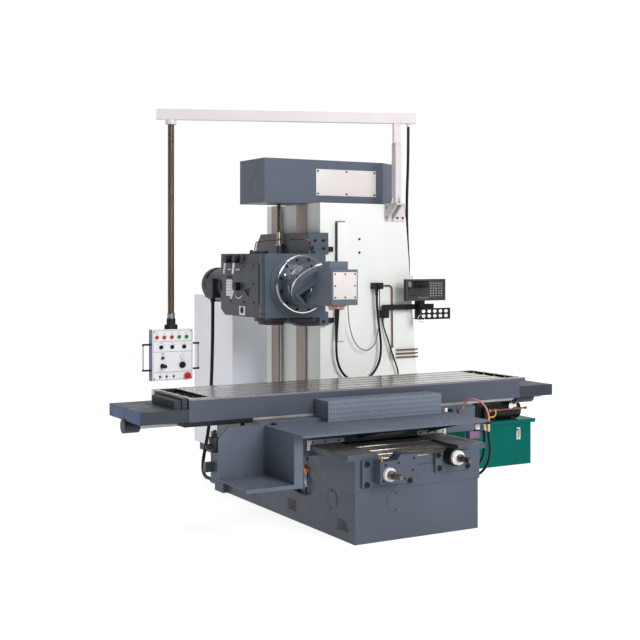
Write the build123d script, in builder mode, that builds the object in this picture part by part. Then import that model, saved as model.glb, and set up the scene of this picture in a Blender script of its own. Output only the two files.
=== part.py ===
# Bed-type universal milling machine with a table slide, a column-mounted head,
# a two-axis swivelling spindle carrier, a hanging control pendant and an oil tank.
# Millimetres. X runs right along the table, Y to the rear, Z up from the floor.
# The origin is on the floor, midway between the four foundation holes of the bed.
import os
from math import pi, radians, tan

from build123d import *

os.makedirs("parts", exist_ok=True)

# Fits
SLIDE_GAP = 0.2
RUN_GAP = 0.05
SEAT_GAP = 0.3
BUTTON_GAP = 0.25
END_PLAY = 1.0

# Bed
BED_HALF = 371.0
BED_FRONT = -622.0
BED_STEP_Z = 258.0
BED_PROUD = 6.0
BED_HEIGHT = 437.0
WING_HALF = 415.0
WING_THICK = 28.0
WAY_REAR = 620.0
CHANNEL_HALF = 240.0
CHANNEL_DEPTH = 77.0
TROUGH_HALF = 75.0
TROUGH_DEPTH = 90.0
TROUGH_FRONT = -560.0
TROUGH_REAR = 780.0
REAR_FOOT_RIGHT = 700.0
REAR_FOOT_FRONT = 640.0
REAR_FOOT_HEIGHT = 370.0
REAR_BOX_X = (-400.0, -250.0)
REAR_BOX_REAR = 1005.0
REAR_BOX_Z = (35.0, 345.0)
REAR_PAD_REAR = 945.0
REAR_PAD_HIGH = 60.0
REAR_LUG_OUT = 50.0
REAR_LUG_LONG = 40.0
REAR_LUG_Z = (105.0, 162.0)
RIB_POCKET = 250.0
RIB_POCKET_LONG = 270.0
RIB_POCKET_HIGH = 230.0
RIB_HALF = 20.0
RIB_STEP_Y = 300.0
RIB_ROWS = 4
BOLT_SPACING_X = 662.0
BOLT_SPACING_Y = 1016.0
BOLT_HOLE_R = 14.0
BOLT_LEDGE = 50.0
BOLT_POCKET_WIDE = 115.0
BOLT_POCKET_HIGH = 60.0
BOLT_POCKET_SLOPE = 40.0
BOLT_POCKET_LIP = 10.0
BOLT_POCKET_DEEP = 80.0
LIFT_POCKET_Y = 21.0
LIFT_POCKET_HALF = 45.0
LIFT_POCKET_DEEP = 45.0
GLAND_R = 16.0
PORT_EDGE = 20.0

# Cross screw in the bed, along Y
Y_SCREW_R = 25.0
Y_SCREW_X = -110.0
Y_SCREW_Z = 325.0
Y_SCREW_SEAT = 50.0

# Front way cover
COVER_SHEET = 4.0
COVER_SIDE_GAP = 2.0
COVER_FRONT_TOP = 410.0
COVER_RISE = 8.0
COVER_STEPS_Y = (-624.0, -560.0, -490.0, -400.0, -300.0)

# Hand feed cases on the bed front
CASE_FLANGE = 14.0
CASE_DEEP = 66.0
CROSS_SHAFT_X = -232.0
CROSS_SHAFT_Z = 346.0
CROSS_SHAFT_R = 15.0
CROSS_DIAL_R = 34.0
CROSS_FLANGE_X = (-342.0, -30.0)
CROSS_FLANGE_Z = (277.0, 408.0)
CROSS_CASE = ((-281, 301), (-281, 406), (-184, 410), (-162, 437), (-64, 432), (-59, 366), (-140, 297))
LIFT_SHAFT_X = 180.0
LIFT_SHAFT_Z = 391.0
LIFT_SHAFT_R = 14.0
LIFT_DIAL_R = 37.0
LIFT_BOSS_R = 45.0
LIFT_BOSS_DEEP = 58.0
LIFT_FLANGE_X = (90.0, 306.0)
LIFT_FLANGE_Z = (313.0, 412.0)
DIAL_THICK = 16.0
SHAFT_REACH = 112.0
SHAFT_SEAT = 48.0
SQUARE_END = 40.0
SQUARE_SHARE = 1.45
DIAL_HUB_STEP = 7.0
DIAL_HUB_LONG = 22.4

# Saddle
SADDLE_LEFT = -640.0
SADDLE_RIGHT = 632.0
SADDLE_FRONT = -255.0
SADDLE_REAR = 390.0
SADDLE_HIGH = 135.8
WAY_RISE = 15.0
WAY_LEFT = -705.0
GUARD_LEFT = -1075.0
GUARD_HIGH = 23.0
FRONT_WAY_BACK = -90.0
REAR_WAY_FRONT = 170.0
KEEL_FRONT = -40.0
KEEL_REAR = 380.0
KEEL_DEEP = 22.0
APRON_FRONT = -240.0
APRON_THICK = 30.0
LIP_IN = 385.0
LIP_THICK = 30.0
Y_NUT_HALF = 55.0
Y_NUT_FRONT = -20.0
Y_NUT_LONG = 100.0
Y_NUT_BOTTOM = 285.0
SADDLE_POCKET_XS = ((-610.0, -475.0), (475.0, 605.0))
SADDLE_POCKET_YS = ((-225.0, -30.0), (110.0, 360.0))

# Table and its screw
TABLE_HALF = 1050.0
TABLE_FRONT = -182.0
TABLE_WIDE = 500.0
TABLE_THICK = 114.8
SLOT_COUNT = 5
SLOT_STEP = 100.0
SLOT_WIDE = 18.0
SLOT_NECK = 20.0
SLOT_FOOT_WIDE = 30.0
SLOT_FOOT_HIGH = 13.0
GUTTER_WIDE = 95.0
GUTTER_EDGE = 30.0
GUTTER_DEEP = 20.0
RIB_GUIDE_WIDE = 50.0
RIB_GUIDE_HIGH = 10.0
END_STEP = 43.0
END_FLANGE = 25.0
HOOD_LONGS = (253.0, 245.0)
HOOD_REAR = 254.0
HOOD_HIGH = 62.0
HOOD_SHEET = 6.0
HOOD_LIFT = 1.8
STOP_BAR_LONG = 30.0
STOP_BAR_Y = (-165.0, 200.0)
STOP_BAR_HIGH = 54.0
STOP_BLOCK_LONG = 36.0
STOP_BLOCK_Y = (-155.0, 140.0)
STOP_BLOCK_HIGH = 43.0
X_SCREW_R = 20.0
X_SCREW_Y = 39.0
X_SCREW_DROP = 27.0
X_HOUSING_R = 36.0
X_HOUSING_LONGS = (80.0, 130.0)
X_HOUSING_OUTS = (8.0, 20.0)
X_CRANK_R = 11.0
X_CRANK_OUT = 79.0
X_GROOVE_HALF = 55.0
X_GROOVE_DEEP = 63.0
X_NUT_HALF = 60.0

# Platform, step and diamond-plate box
PLATE = 8.0
PLATFORM_LEFT = -680.0
PLATFORM_RIGHT = 415.0
PLATFORM_FRONT = -658.0
PLATFORM_DROP = 15.0
PLATFORM_LIP = 12.0
STEP_LEFT = -932.0
STEP_FRONT = -575.0
STEP_TOP = 315.0
STEP_LIP = 20.0
STEP_FLANGE = 48.0
STEP_CORNER = 55.0
GUSSET_XS = (-560.0, -120.0, 320.0)
GUSSET_FRONT = -620.0
GUSSET_LOW = 450.0
HOSE_PLATE_IN = 15.0
HOSE_PLATE_OUT = 20.0
HOSE_PLATE_Y = (-658.0, -595.0)
LUBE_BLOCK_X = (340.0, 411.0)
LUBE_BLOCK_Y = (-595.0, -565.0)
LUBE_BLOCK_Z = (457.0, 495.0)
LUBE_POST_X = (388.0, 408.0)
LUBE_POST_Y = (-590.0, -570.0)
LUBE_GLAND = 20.0
BOX_HALF = 350.0
BOX_FRONT = -328.0
BOX_TABLE_GAP = 4.0
BOX_HIGH = 106.0
BOX_WALL = 4.0
BOX_BAYS = 3

# Column
COLUMN_LEFT = 250.0
COLUMN_FRONT = 829.0
COLUMN_REAR = 1551.0
COLUMN_HEIGHT = 1736.0
COLUMN_RIGHT_LOW = 1042.0
COLUMN_RIGHT_HIGH = 892.0
COLUMN_FLANGE = 40.0
COLUMN_FLANGE_HIGH = 50.0
NEAR_WAY = (996.0, 1117.0)
FAR_WAY = (1363.0, 1463.0)
WAY_SET_BACK = 12.0
RECESS_DEEP = 38.0
UNDERCUT = 20.0
UNDERCUT_START = 22.0
CELL_Z_TOP = 1690.0
CELL_LEFT = (330.0, 580.0)
CELL_RIGHT = (615.0, 860.0)
CELL_FRONT = (865.0, 980.0)
CELL_REAR = (1305.0, 1515.0)
CABLE_BOX_HIGH = 40.0
FRONT_BOX_HALF = 18.0
FRONT_BOX_OUT = 14.0
SIDE_BOX_HALF = 20.0

# Lift screw in the column, along Z
Z_SCREW_R = 20.0
Z_SCREW_X = 370.0
Z_SCREW_Y = 1154.0
Z_SCREW_LOW = 320.0
Z_SCREW_TOP = 1660.0
Z_SCREW_SEAT = 20.0
Z_CELL_HALF = 45.0
ARM_HALF = 17.0
ARM_LOW = 1200.0
ARM_HIGH = 100.0
ARM_PAST = 25.0
ARM_ROOM = 20.0
ARM_SIDE_ROOM = 3.0

# Balance chain, its wheels and the counterweight
CHAIN_X = 137.0
CHAIN_Y = 1141.0
CHAIN_THICK = 16.0
CHAIN_WIDE = 24.0
CHAIN_BEND = 70.0
WHEEL_UP = 79.0
WEIGHT_X = 600.0
WEIGHT_SIDE = 250.0
WEIGHT_LOW = 300.0
WEIGHT_HIGH = 850.0
WEIGHT_EYE = 30.0
SHAFT_SIDE = 284.0
SHAFT_FLOOR = 60.0
WHEEL_HALF = 11.0
AXLE_R = 15.0
HUB_R = 26.0
HUB_HALF = 29.0
BEARING_PLATE = 8.0
BEARING_HIGH = 190.0

# Top cover
CAP_LEFT = -55.0
CAP_FRONT_RIGHT = 814.0
CAP_RIGHT = 940.0
CAP_FRONT = 968.0
CAP_REAR = 1314.0
CAP_HIGH = 277.0
CAP_SHEET = 5.0
CAP_CORNER = 82.0
BEARING_END = 60.0
CHAIN_HOLE = 50.0

# Travels of the head, up and down from where it stands
HEAD_UP = 150.0
HEAD_DOWN = 300.0

# Head slide and gearbox
SLIDE_LEFT = 160.0
SLIDE_FRONT = 790.0
SLIDE_REAR = 1510.0
SLIDE_LOW = 975.0
SLIDE_OVER = 130.0
SLIDE_CORNER = (66.0, 76.0)
KEEPER_LEG = 16.0
KEEPER_ROOM = 2.0
CLAMP_X = 298.0
CLAMP_LOW_HIGH = 85.0
CLAMP_TOP_HIGH = 135.0
CLAMP_GAP = 0.8
HOSE_ARM_X = 455.0
HOSE_ARM_Y = (768.0, 796.0)
HOSE_ARM_Z = (1250.0, 1274.0)
GEARBOX_LEFT = -246.0
GEARBOX_FRONT = 584.0
GEARBOX_PAST_CHAIN = 49.0
GEARBOX_LOW = 1040.0
GEARBOX_TOP = 1418.0
GEARBOX_CORNER = (62.0, 35.0)
SEAT_BOSS_R = 205.0
SEAT_BOSS = 6.0
GEAR_CELL_X = (-200.0, 110.0)
GEAR_CELL_Z = (1080.0, 1388.0)
GEAR_CELL_FRONT = (625.0, 880.0)
GEAR_CELL_REAR = (905.0, 1160.0)
BOSS_R = 22.0
BOSS_HIGH = 62.0
CLEVIS_R = 14.0
CLEVIS_HIGH = 78.0

# Speed levers on the gearbox: hub place (y, z) and rod direction
LEVER_HUBS = ((1057.0, 1386.0), (934.0, 1386.0), (925.0, 1220.0))
LEVER_LEANS = ((0.0, 0.26, -0.97), (0.0, 0.26, -0.97), (0.0, 0.62, -0.78))
LEVER_NAMES = ("speed_lever_rear", "speed_lever_front", "range_lever")
LEVER_HUB_R = 24.0
LEVER_HUB_LONG = 36.0
LEVER_SHAFT_R = 10.0
LEVER_SHAFT_IN = 32.0
LEVER_ROD_R = 6.5
LEVER_ROD_LONG = 92.0
LEVER_ROD_OUT = 30.0

# Main motor
MOTOR_X = -132.0
MOTOR_Z = 1219.0
MOTOR_R = 105.0
MOTOR_FLANGE_R = 122.0
MOTOR_FLANGE = 16.0
MOTOR_LONG = 328.0
COWL_R = 111.0
COWL_LONG = 68.0
COWL_WALL = 4.0
COWL_ROUND = 25.0
STATOR_R = 70.0
SHIELD = 12.0
ROTOR_AIR = 1.0
ROTOR_SHAFT_R = 19.0
PINION_R = 42.0
PINION_LONG = 40.0
PINION_SET = 36.0
SHAFT_TAIL = 22.0
FAN_R = 88.0
FAN_LONG = 24.0
VENT_R = 9.0
VENT_RING = 70.0
VENT_COUNT = 10
TERMINAL_X = (-262.0, -205.0)
TERMINAL_Y = (1285.0, 1395.0)
TERMINAL_Z = (1140.0, 1262.0)

# Swivel head and spindle carrier
SWIVEL_X = -9.0
SWIVEL_Z = 1236.0
SWIVEL_RING_R = 172.0
SWIVEL_RING = 18.0
SWIVEL_NECK_R = 132.0
SPIGOT_R = 80.0
SPIGOT_LONG = 20.0
TILT_Y = 361.0
TILT_R = 168.0
TILT_RING = 26.0
TILT_STEP = 8.0
CARRIER_HALF = 84.0
CARRIER_FRONT = 79.0
CARRIER_BACK = 459.0
CARRIER_LOW = 1130.0
CARRIER_TOP = 1328.0
LEDGE_X = (-91.0, 27.0)
LEDGE_Y = (105.0, 190.0)
LEDGE_HIGH = 45.0

# Spindle with a 7:24 nose
SPINDLE_Y = 171.0
QUILL_R = 50.0
QUILL_TOP = 1284.0
NOSE_R = 44.45
NOSE_DROP = 22.0
TAPER_R = 22.2
TAPER_DEEP = 65.0
TAPER_SLOPE = 24.0 / 7.0
DRAWBAR_R = 8.5
NOSE_BOLT_RING = 33.35
NOSE_BOLT_R = 5.1
NOSE_BOLT_DEEP = 20.0
NOSE_BOLTS = 4
KEY_WIDE = 16.0
KEY_HIGH = 8.0
KEY_IN = 25.0
KEY_EDGE = 3.0
NOSE_BOLT_START = 45.0

# Pendant pole and boom
POLE_X = 775.0
POLE_Y = 748.0
POLE_SIDE = 44.0
POLE_TOP = 2121.0
SHELF_X = (736.0, 885.0)
SHELF_TIP_X = (738.0, 800.0)
SHELF_FRONT = 690.0
SHELF_THICK = 10.0
SHELF_RISE = 3.0
BRACKET_HIGH = 112.0
BOOM_LOW = 2246.0
BOOM_HIGH = 64.0
BOOM_WIDE = 50.0
BOOM_WALL = 4.0
BOOM_LONG = 1423.2
BOOM_TAIL = 122.0
BOOM_PAST = 89.0
BOOM_TURN = 158.81
PIVOT_R = 15.0
PIVOT_LONG = 60.0
TAIL_GLAND_OUT = 76.0
TAIL_GLAND_R = 11.0
SOCKET_R = 34.0
SOCKET_LONG = 30.0

# Conduit and pendant
CONDUIT_R = 21.0
CONDUIT_GROOVE = 2.5
CONDUIT_BORE = 15.0
CONDUIT_RIBS = 160
CONDUIT_RIB_SHAPE = ((0.0, CONDUIT_GROOVE), (0.2, 0.0), (0.6, 0.0), (0.8, CONDUIT_GROOVE))
PENDANT_WIDE = 268.0
PENDANT_TALL = 315.0
PENDANT_DEEP = 56.0
PENDANT_LOW = 638.0
PENDANT_WALL = 4.0
GLAND_BASE_WIDE = 84.0
GLAND_BASE_HIGH = 28.0
GLAND_NECK_R = 28.0
GLAND_NECK_HIGH = 36.0
HANDLE_OUT = 48.0
HANDLE_R = 5.0
HANDLE_LOW = -92.0
HANDLE_TOP = 66.0
BRACKET_R = 6.0

# Pendant controls: places on the panel, right and up from its middle
LAMP_ROW = 110.0
BUTTON_XS = (-105.0, -57.0, -7.0, 41.0, 90.0)
BUTTON_NAMES = ("red_button_1", "red_button_2", "red_button_3", "green_button_1", "green_button_2")
BUTTON_R = 11.0
BUTTON_OUT = 9.0
BUTTON_IN = 12.0
BUTTON_TRAVEL = 4.0
BEZEL = 3.5
BEZEL_HIGH = 3.0
SELECTOR_XS = (-76.0, -4.0, 75.0)
SELECTOR_ROW = 49.0
SELECTOR_R = 13.0
SELECTOR_HIGH = 9.0
SELECTOR_RIDGE = 2.5
FINE_DIAL_AT = (-66.0, -17.0)
FINE_DIAL_R = 9.0
FINE_DIAL_HIGH = 12.0
FINE_DIAL_RIDGE = 1.0
WHITE_AT = (61.0, -13.0)
WHITE_R = 13.0
STICK_AT = (-67.0, -66.0)
KNOB_AT = (63.0, -63.0)
KNOB_R = 20.0
KNOB_HIGH = 20.0
KNOB_RIDGE = 1.5
KNOB_WAIST = 0.8
RIDGE_SHARE = 0.75
TOGGLE_XS = (-83.0, -40.0, 7.0)
TOGGLE_ROW = -132.0
ESTOP_AT = (93.0, -130.0)
ESTOP_R = 20.0
ESTOP_STEM_R = 10.0
ESTOP_HIGH = 14.0
ESTOP_TRAVEL = 6.0
ESTOP_ROOM = 8.0
DIAL_SHAFT_R = 5.0
DIAL_SHAFT_IN = 20.0

# Joystick and toggles: lever, ball end, cross pin and the lugs that hold it
STICK_PIVOT = 16.0
STICK_R = 5.0
STICK_LONG = 42.0
STICK_BALL_R = 13.0
STICK_HOLE_R = 15.0
STICK_PIN_R = 3.0
STICK_LUG_IN = 18.0
STICK_LUG = 5.0
TOGGLE_PIVOT = 8.0
TOGGLE_R = 2.5
TOGGLE_LONG = 18.0
TOGGLE_BALL_R = 4.0
TOGGLE_HOLE_R = 8.0
TOGGLE_PIN_R = 1.5
TOGGLE_LUG_IN = 10.0
TOGGLE_LUG = 3.0
PIN_COVER = 1.5

# Readout on its swinging arm
READOUT_X = 712.0
READOUT_Y = 790.0
READOUT_Z = 1060.0
READOUT_PIN_R = 10.0
READOUT_BRACKET = 24.0
READOUT_WALL = 6.0
READOUT_BRACKET_HIGH = 50.0
READOUT_ARM_END = 1085.0
READOUT_ARM_HALF = 12.0
READOUT_ARM_HIGH = 34.0
DISPLAY_X = (806.0, 1112.0)
DISPLAY_FRONT = 690.0
DISPLAY_DEEP = 24.0
DISPLAY_LOW = 1119.0
DISPLAY_HIGH = 138.0
HINGE_BACK = 15.0
HINGE_UP = 46.0
HINGE_PIN_R = 8.0
KNUCKLE_R = 13.0
KNUCKLE_X = (946.0, 984.0)
EAR = 16.0
EAR_GAP = 1.0
TRAY_X = (920.0, 1160.0)
TRAY_Z = (998.0, 1070.0)
TRAY_FRONT = 700.0
TRAY_BACK = 780.0
TRAY_PLATE = 5.0
TRAY_HOLES = 5
TRAY_SLOT_LONG = 30.0
TRAY_SLOT_HIGH = 20.0
TRAY_HOLE_STEP = 44.0
TRAY_HOLE_ROWS = (22.0, 52.0)

# Electrical cabinet
CABINET_LEFT = 99.0
CABINET_RIGHT = 900.0
CABINET_FRONT = 1750.0
CABINET_REAR = 2400.0
CABINET_TOP = 1126.0
CABINET_WALL = 6.0
PLINTH_HIGH = 60.0
PLINTH_IN = 30.0
DOOR_THICK = 18.0
DOOR_EDGE = 8.0
HINGE_BARREL_R = 8.0
HINGE_BARREL = 40.0
HINGE_LUG = 30.0
HINGE_NOTCH = 2.0
DOOR_HINGE_GAP = 1.0
LATCH_IN = 30.0
HINGE_ZS = (200.0, 940.0)
DUCT_X = (500.0, 600.0)
DUCT_Z = (300.0, 400.0)
LATCH_R = 9.0
LATCH_LONG = 120.0

# Oil tank and pump
TANK_LEFT = 1280.0
TANK_RIGHT = 1841.0
TANK_FRONT = 713.0
TANK_REAR = 1113.0
TANK_HIGH = 280.0
TANK_WALL = 6.0
LID_OVER = 12.0
LID_OVER_RIGHT = 31.0
LID_HIGH = 24.0
PUMP_X = (1400.0, 1480.0)
PUMP_MOTOR_RIGHT = 1764.0
PUMP_Y = 780.0
PUMP_UP = 62.0
PUMP_MOTOR_R = 60.0
PUMP_HALF = 45.0
PUMP_BLOCK_REAR = 945.0
PUMP_FOOT_XS = (1420.0, 1540.0, 1700.0)
PUMP_FOOT_HALF = 14.0
PUMP_FOOT_SINK = 20.0
PUMP_BOX_X = (1500.0, 1620.0)
PUMP_BOX_HALF = 36.0
PUMP_BOX_UP = (40.0, 82.0)
OUTLET_X = (1440.0, 1480.0)
OUTLET_FRONT = 700.0
OUTLET_Z = (321.0, 395.0)
OUTLET_PIPE_Y = 712.0
OUTLET_PIPE_Z = 379.0
OUTLET_PIPE_R = 6.0
OUTLET_PIPE_END = 1805.0
RETURN_PIPE_Z = 335.0
RETURN_PIPE_X = 1541.0
PUMP_PORT_YS = (900.0, 930.0)
PUMP_PORT_ZS = (400.0, 360.0)
PIPE_R = 8.0
THIN_PIPE_R = 5.0
PORT_X = (1012.8, 1035.0)

# Column pipes
FITTING_X = (630.0, 690.0)
FITTING_FRONT = 770.0
FITTING_Z = (1195.0, 1235.0)
PIPE_Y = 817.0
PIPE_BEND = 25.0
PIPE_CORNER = (786.0, 1215.0)
PIPE_LEAN = 4.0
MANIFOLD_X = (774.0, 806.0)
MANIFOLD_Z = (738.0, 815.0)
THIN_PIPE_ZS = (800.0, 776.0, 752.0)
THIN_PIPE_END = 985.0

# Cables and hoses: diameter and the points of each route
CORD_BEND = 0.45
MOTOR_CABLE_D = 22.0
MOTOR_CABLE = (
    (-230, 1350, 1112),
    (-230, 1350, 930),
    (-234, 1351, 740),
    (-241, 1350, 560),
    (-250, 1346, 410),
    (-268, 1335, 285),
    (-300, 1310, 190),
    (-338, 1262, 115),
    (-366, 1195, 66),
    (-380, 1125, 46),
    (-386, 1065, 50),
    (-386, 1020, 50),
)
HEAD_HOSE_D = 15.0
HEAD_HOSE = (
    (367, 783, 1250),
    (367, 783, 1131),
    (364, 783, 1030),
    (355, 783, 930),
    (350, 784, 830),
    (360, 785, 745),
    (392, 786, 678),
    (450, 786, 630),
    (522, 786, 612),
    (594, 786, 636),
    (648, 785, 690),
    (678, 784, 762),
    (681, 783, 850),
    (668, 783, 940),
    (656, 784, 1035),
    (650, 786, 1125),
    (650, 786, 1195),
)
HEAD_WIRE_D = 6.0
HEAD_WIRE = (
    (433, 783, 1250),
    (433, 783, 1165),
    (435, 782, 1080),
    (441, 782, 1000),
    (455, 781, 925),
    (484, 781, 860),
    (530, 780, 816),
    (584, 780, 808),
    (632, 780, 842),
    (654, 782, 908),
    (664, 784, 985),
    (670, 786, 1060),
    (672, 787, 1130),
    (672, 787, 1195),
)
READOUT_CABLE_D = 10.0
READOUT_CABLE = (
    (712, 812, 1010),
    (712, 812, 975),
    (720, 805, 935),
    (738, 798, 880),
    (760, 794, 815),
    (784, 792, 750),
    (808, 796, 697),
    (824, 802, 657),
    (824, 802, 630),
)
BOOM_CABLE_D = 18.0
BOOM_CABLE = (
    (845.9, 720.5, 2226),
    (845.9, 720.5, 2116),
    (858, 742, 1970),
    (878, 782, 1820),
    (908, 830, 1670),
    (930, 856, 1520),
    (945, 867, 1390),
    (951, 871, 1330),
    (951, 871, 1280),
)
BLACK_HOSE_D = 14.0
FRONT_HOSE = (
    (419, -648, 536),
    (419, -648, 484),
    (430, -646, 430),
    (444, -631, 374),
    (453, -598, 318),
    (458, -550, 272),
    (458, -494, 240),
    (458, -440, 240),
)
REAR_HOSE = (
    (424, -608, 536),
    (424, -608, 486),
    (426, -606, 436),
    (432, -595, 388),
    (439, -571, 344),
    (443, -536, 308),
    (444, -489, 288),
    (444, -440, 288),
)
LUBE_HOSE_D = 10.0
LUBE_HOSE = (
    (518, -265, 552),
    (510, -297, 572),
    (507, -330, 604),
    (512, -366, 626),
    (519, -403, 632),
    (528, -440, 622),
    (533, -476, 600),
    (527, -507, 571),
    (512, -535, 540),
    (489, -562, 511),
    (455, -580, 486),
    (411, -580, 486),
)

# Heights that follow from the stack of slides
SADDLE_LOW = BED_HEIGHT + SLIDE_GAP
SADDLE_TOP = SADDLE_LOW + SADDLE_HIGH
TABLE_LOW = SADDLE_TOP + WAY_RISE + SLIDE_GAP
TABLE_TOP = TABLE_LOW + TABLE_THICK
TABLE_BACK = TABLE_FRONT + TABLE_WIDE
PLATFORM_TOP = SADDLE_TOP - PLATFORM_DROP
X_SCREW_Z = TABLE_LOW - X_SCREW_DROP
CHANNEL_FLOOR = BED_HEIGHT - CHANNEL_DEPTH
TROUGH_FLOOR = CHANNEL_FLOOR - TROUGH_DEPTH
FRONT_FACE = BED_FRONT - BED_PROUD
WING_LOW = BED_HEIGHT - WING_THICK
CASE_FRONT = FRONT_FACE - CASE_FLANGE - CASE_DEEP
RECESS_X = COLUMN_LEFT + RECESS_DEEP
SLIDE_FACE = COLUMN_LEFT - SLIDE_GAP
WHEEL_Z = COLUMN_HEIGHT + WHEEL_UP
WEIGHT_TOP = WEIGHT_LOW + WEIGHT_HIGH
CLEVIS_TOP = GEARBOX_TOP + BOSS_HIGH + CLEVIS_HIGH
SLIDE_TOP = GEARBOX_TOP + SLIDE_OVER
GEARBOX_REAR = CHAIN_Y + GEARBOX_PAST_CHAIN
SEAT_FACE = GEARBOX_FRONT - SEAT_BOSS
MOTOR_REAR = GEARBOX_REAR + MOTOR_LONG
SHELF_TOP = COLUMN_HEIGHT + SHELF_RISE
BOOM_DIR = Vector(1, 0, 0).rotate(Axis.Z, BOOM_TURN)
BOOM_TIP = Vector(POLE_X, POLE_Y, 0) + BOOM_DIR * BOOM_LONG
PENDANT_TOP = PENDANT_LOW + PENDANT_TALL
PENDANT_MID = PENDANT_LOW + PENDANT_TALL / 2
PENDANT_FACE = BOOM_TIP.Y - PENDANT_DEEP / 2
PENDANT_INNER = PENDANT_FACE + PENDANT_WALL
CONDUIT_LOW = PENDANT_TOP + GLAND_BASE_HIGH + GLAND_NECK_HIGH + SEAT_GAP
CONDUIT_TOP = BOOM_LOW - SOCKET_LONG
TILT_DIR = Vector(0, -1, -1).normalized()
TILT_UP = Vector(0, -1, 1).normalized()
TILT_AT = Vector(SWIVEL_X, TILT_Y, SWIVEL_Z)
LID_TOP = TANK_HIGH + LID_HIGH
PUMP_Z = LID_TOP + PUMP_UP
HINGE_Y = DISPLAY_FRONT + DISPLAY_DEEP + HINGE_BACK
HINGE_Z = DISPLAY_LOW + HINGE_UP

CUT = Mode.SUBTRACT
AXIS_TURN = {"x": (0, 90, 0), "y": (90, 0, 0), "z": (0, 0, 0)}


def around(middle, half):
    """Both limits of a span about its middle."""
    return (middle - half, middle + half)


def block(x, y, z, mode=Mode.ADD):
    """A box given by its limits on each axis."""
    middle = [(limits[0] + limits[1]) / 2 for limits in (x, y, z)]
    size = [abs(limits[1] - limits[0]) for limits in (x, y, z)]
    with Locations(tuple(middle)):
        Box(*size, mode=mode)


def rod(axis, radius, centre, span, mode=Mode.ADD):
    """A round bar along one axis: centre on the other two axes, and its span."""
    middle = (span[0] + span[1]) / 2
    places = {
        "x": (middle, centre[0], centre[1]),
        "y": (centre[0], middle, centre[1]),
        "z": (centre[0], centre[1], middle),
    }
    with Locations(places[axis]):
        Cylinder(radius, abs(span[1] - span[0]), rotation=AXIS_TURN[axis], mode=mode)


def slab_x(outline, x, mode=Mode.ADD):
    """An outline in Y and Z, carried along X."""
    with BuildSketch(Plane.YZ.offset(x[0])) as profile:
        with BuildLine():
            Polyline(*outline, close=True)
        make_face()
    extrude(profile.sketch, amount=x[1] - x[0], mode=mode)


def slab_y(outline, y, mode=Mode.ADD):
    """An outline in X and Z, carried along Y."""
    with BuildSketch(Plane.XZ.offset(-y[1])) as profile:
        with BuildLine():
            Polyline(*outline, close=True)
        make_face()
    extrude(profile.sketch, amount=y[1] - y[0], mode=mode)


def slab_z(outline, z, mode=Mode.ADD):
    """An outline in X and Y, carried along Z."""
    with BuildSketch(Plane.XY.offset(z[0])) as profile:
        with BuildLine():
            Polyline(*outline, close=True)
        make_face()
    extrude(profile.sketch, amount=z[1] - z[0], mode=mode)


def bar(start, direction, radius, length, mode=Mode.ADD):
    """A round bar from a point along any direction."""
    with BuildSketch(Plane(origin=start, z_dir=direction)) as profile:
        Circle(radius)
    extrude(profile.sketch, amount=length, mode=mode)


def cord(route, diameter):
    """A plain tube along straight runs joined by tangent arcs."""
    runs = [Vector(*b) - Vector(*a) for a, b in zip(route, route[1:])]
    radii = []
    for before, after in zip(runs, runs[1:]):
        turn = radians(before.get_angle(after))
        radii.append(CORD_BEND * min(before.length, after.length) / tan(turn / 2))
    with BuildLine() as path:
        FilletPolyline(*route, radius=radii)
    with BuildSketch(Plane(origin=route[0], z_dir=runs[0])) as section:
        Circle(diameter / 2)
    tube = sweep(section.sketch, path=path.wires()[0])
    expected = pi * diameter**2 / 4 * path.wires()[0].length
    ratio = round(tube.volume / expected, 4)
    print("cord", diameter, "radii", [round(r) for r in radii], "volume ratio", ratio)


def save(piece, name):
    """Labels one finished piece and writes it out."""
    piece.part.label = name
    export_step(piece.part, f"parts/{name}.step")


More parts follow.
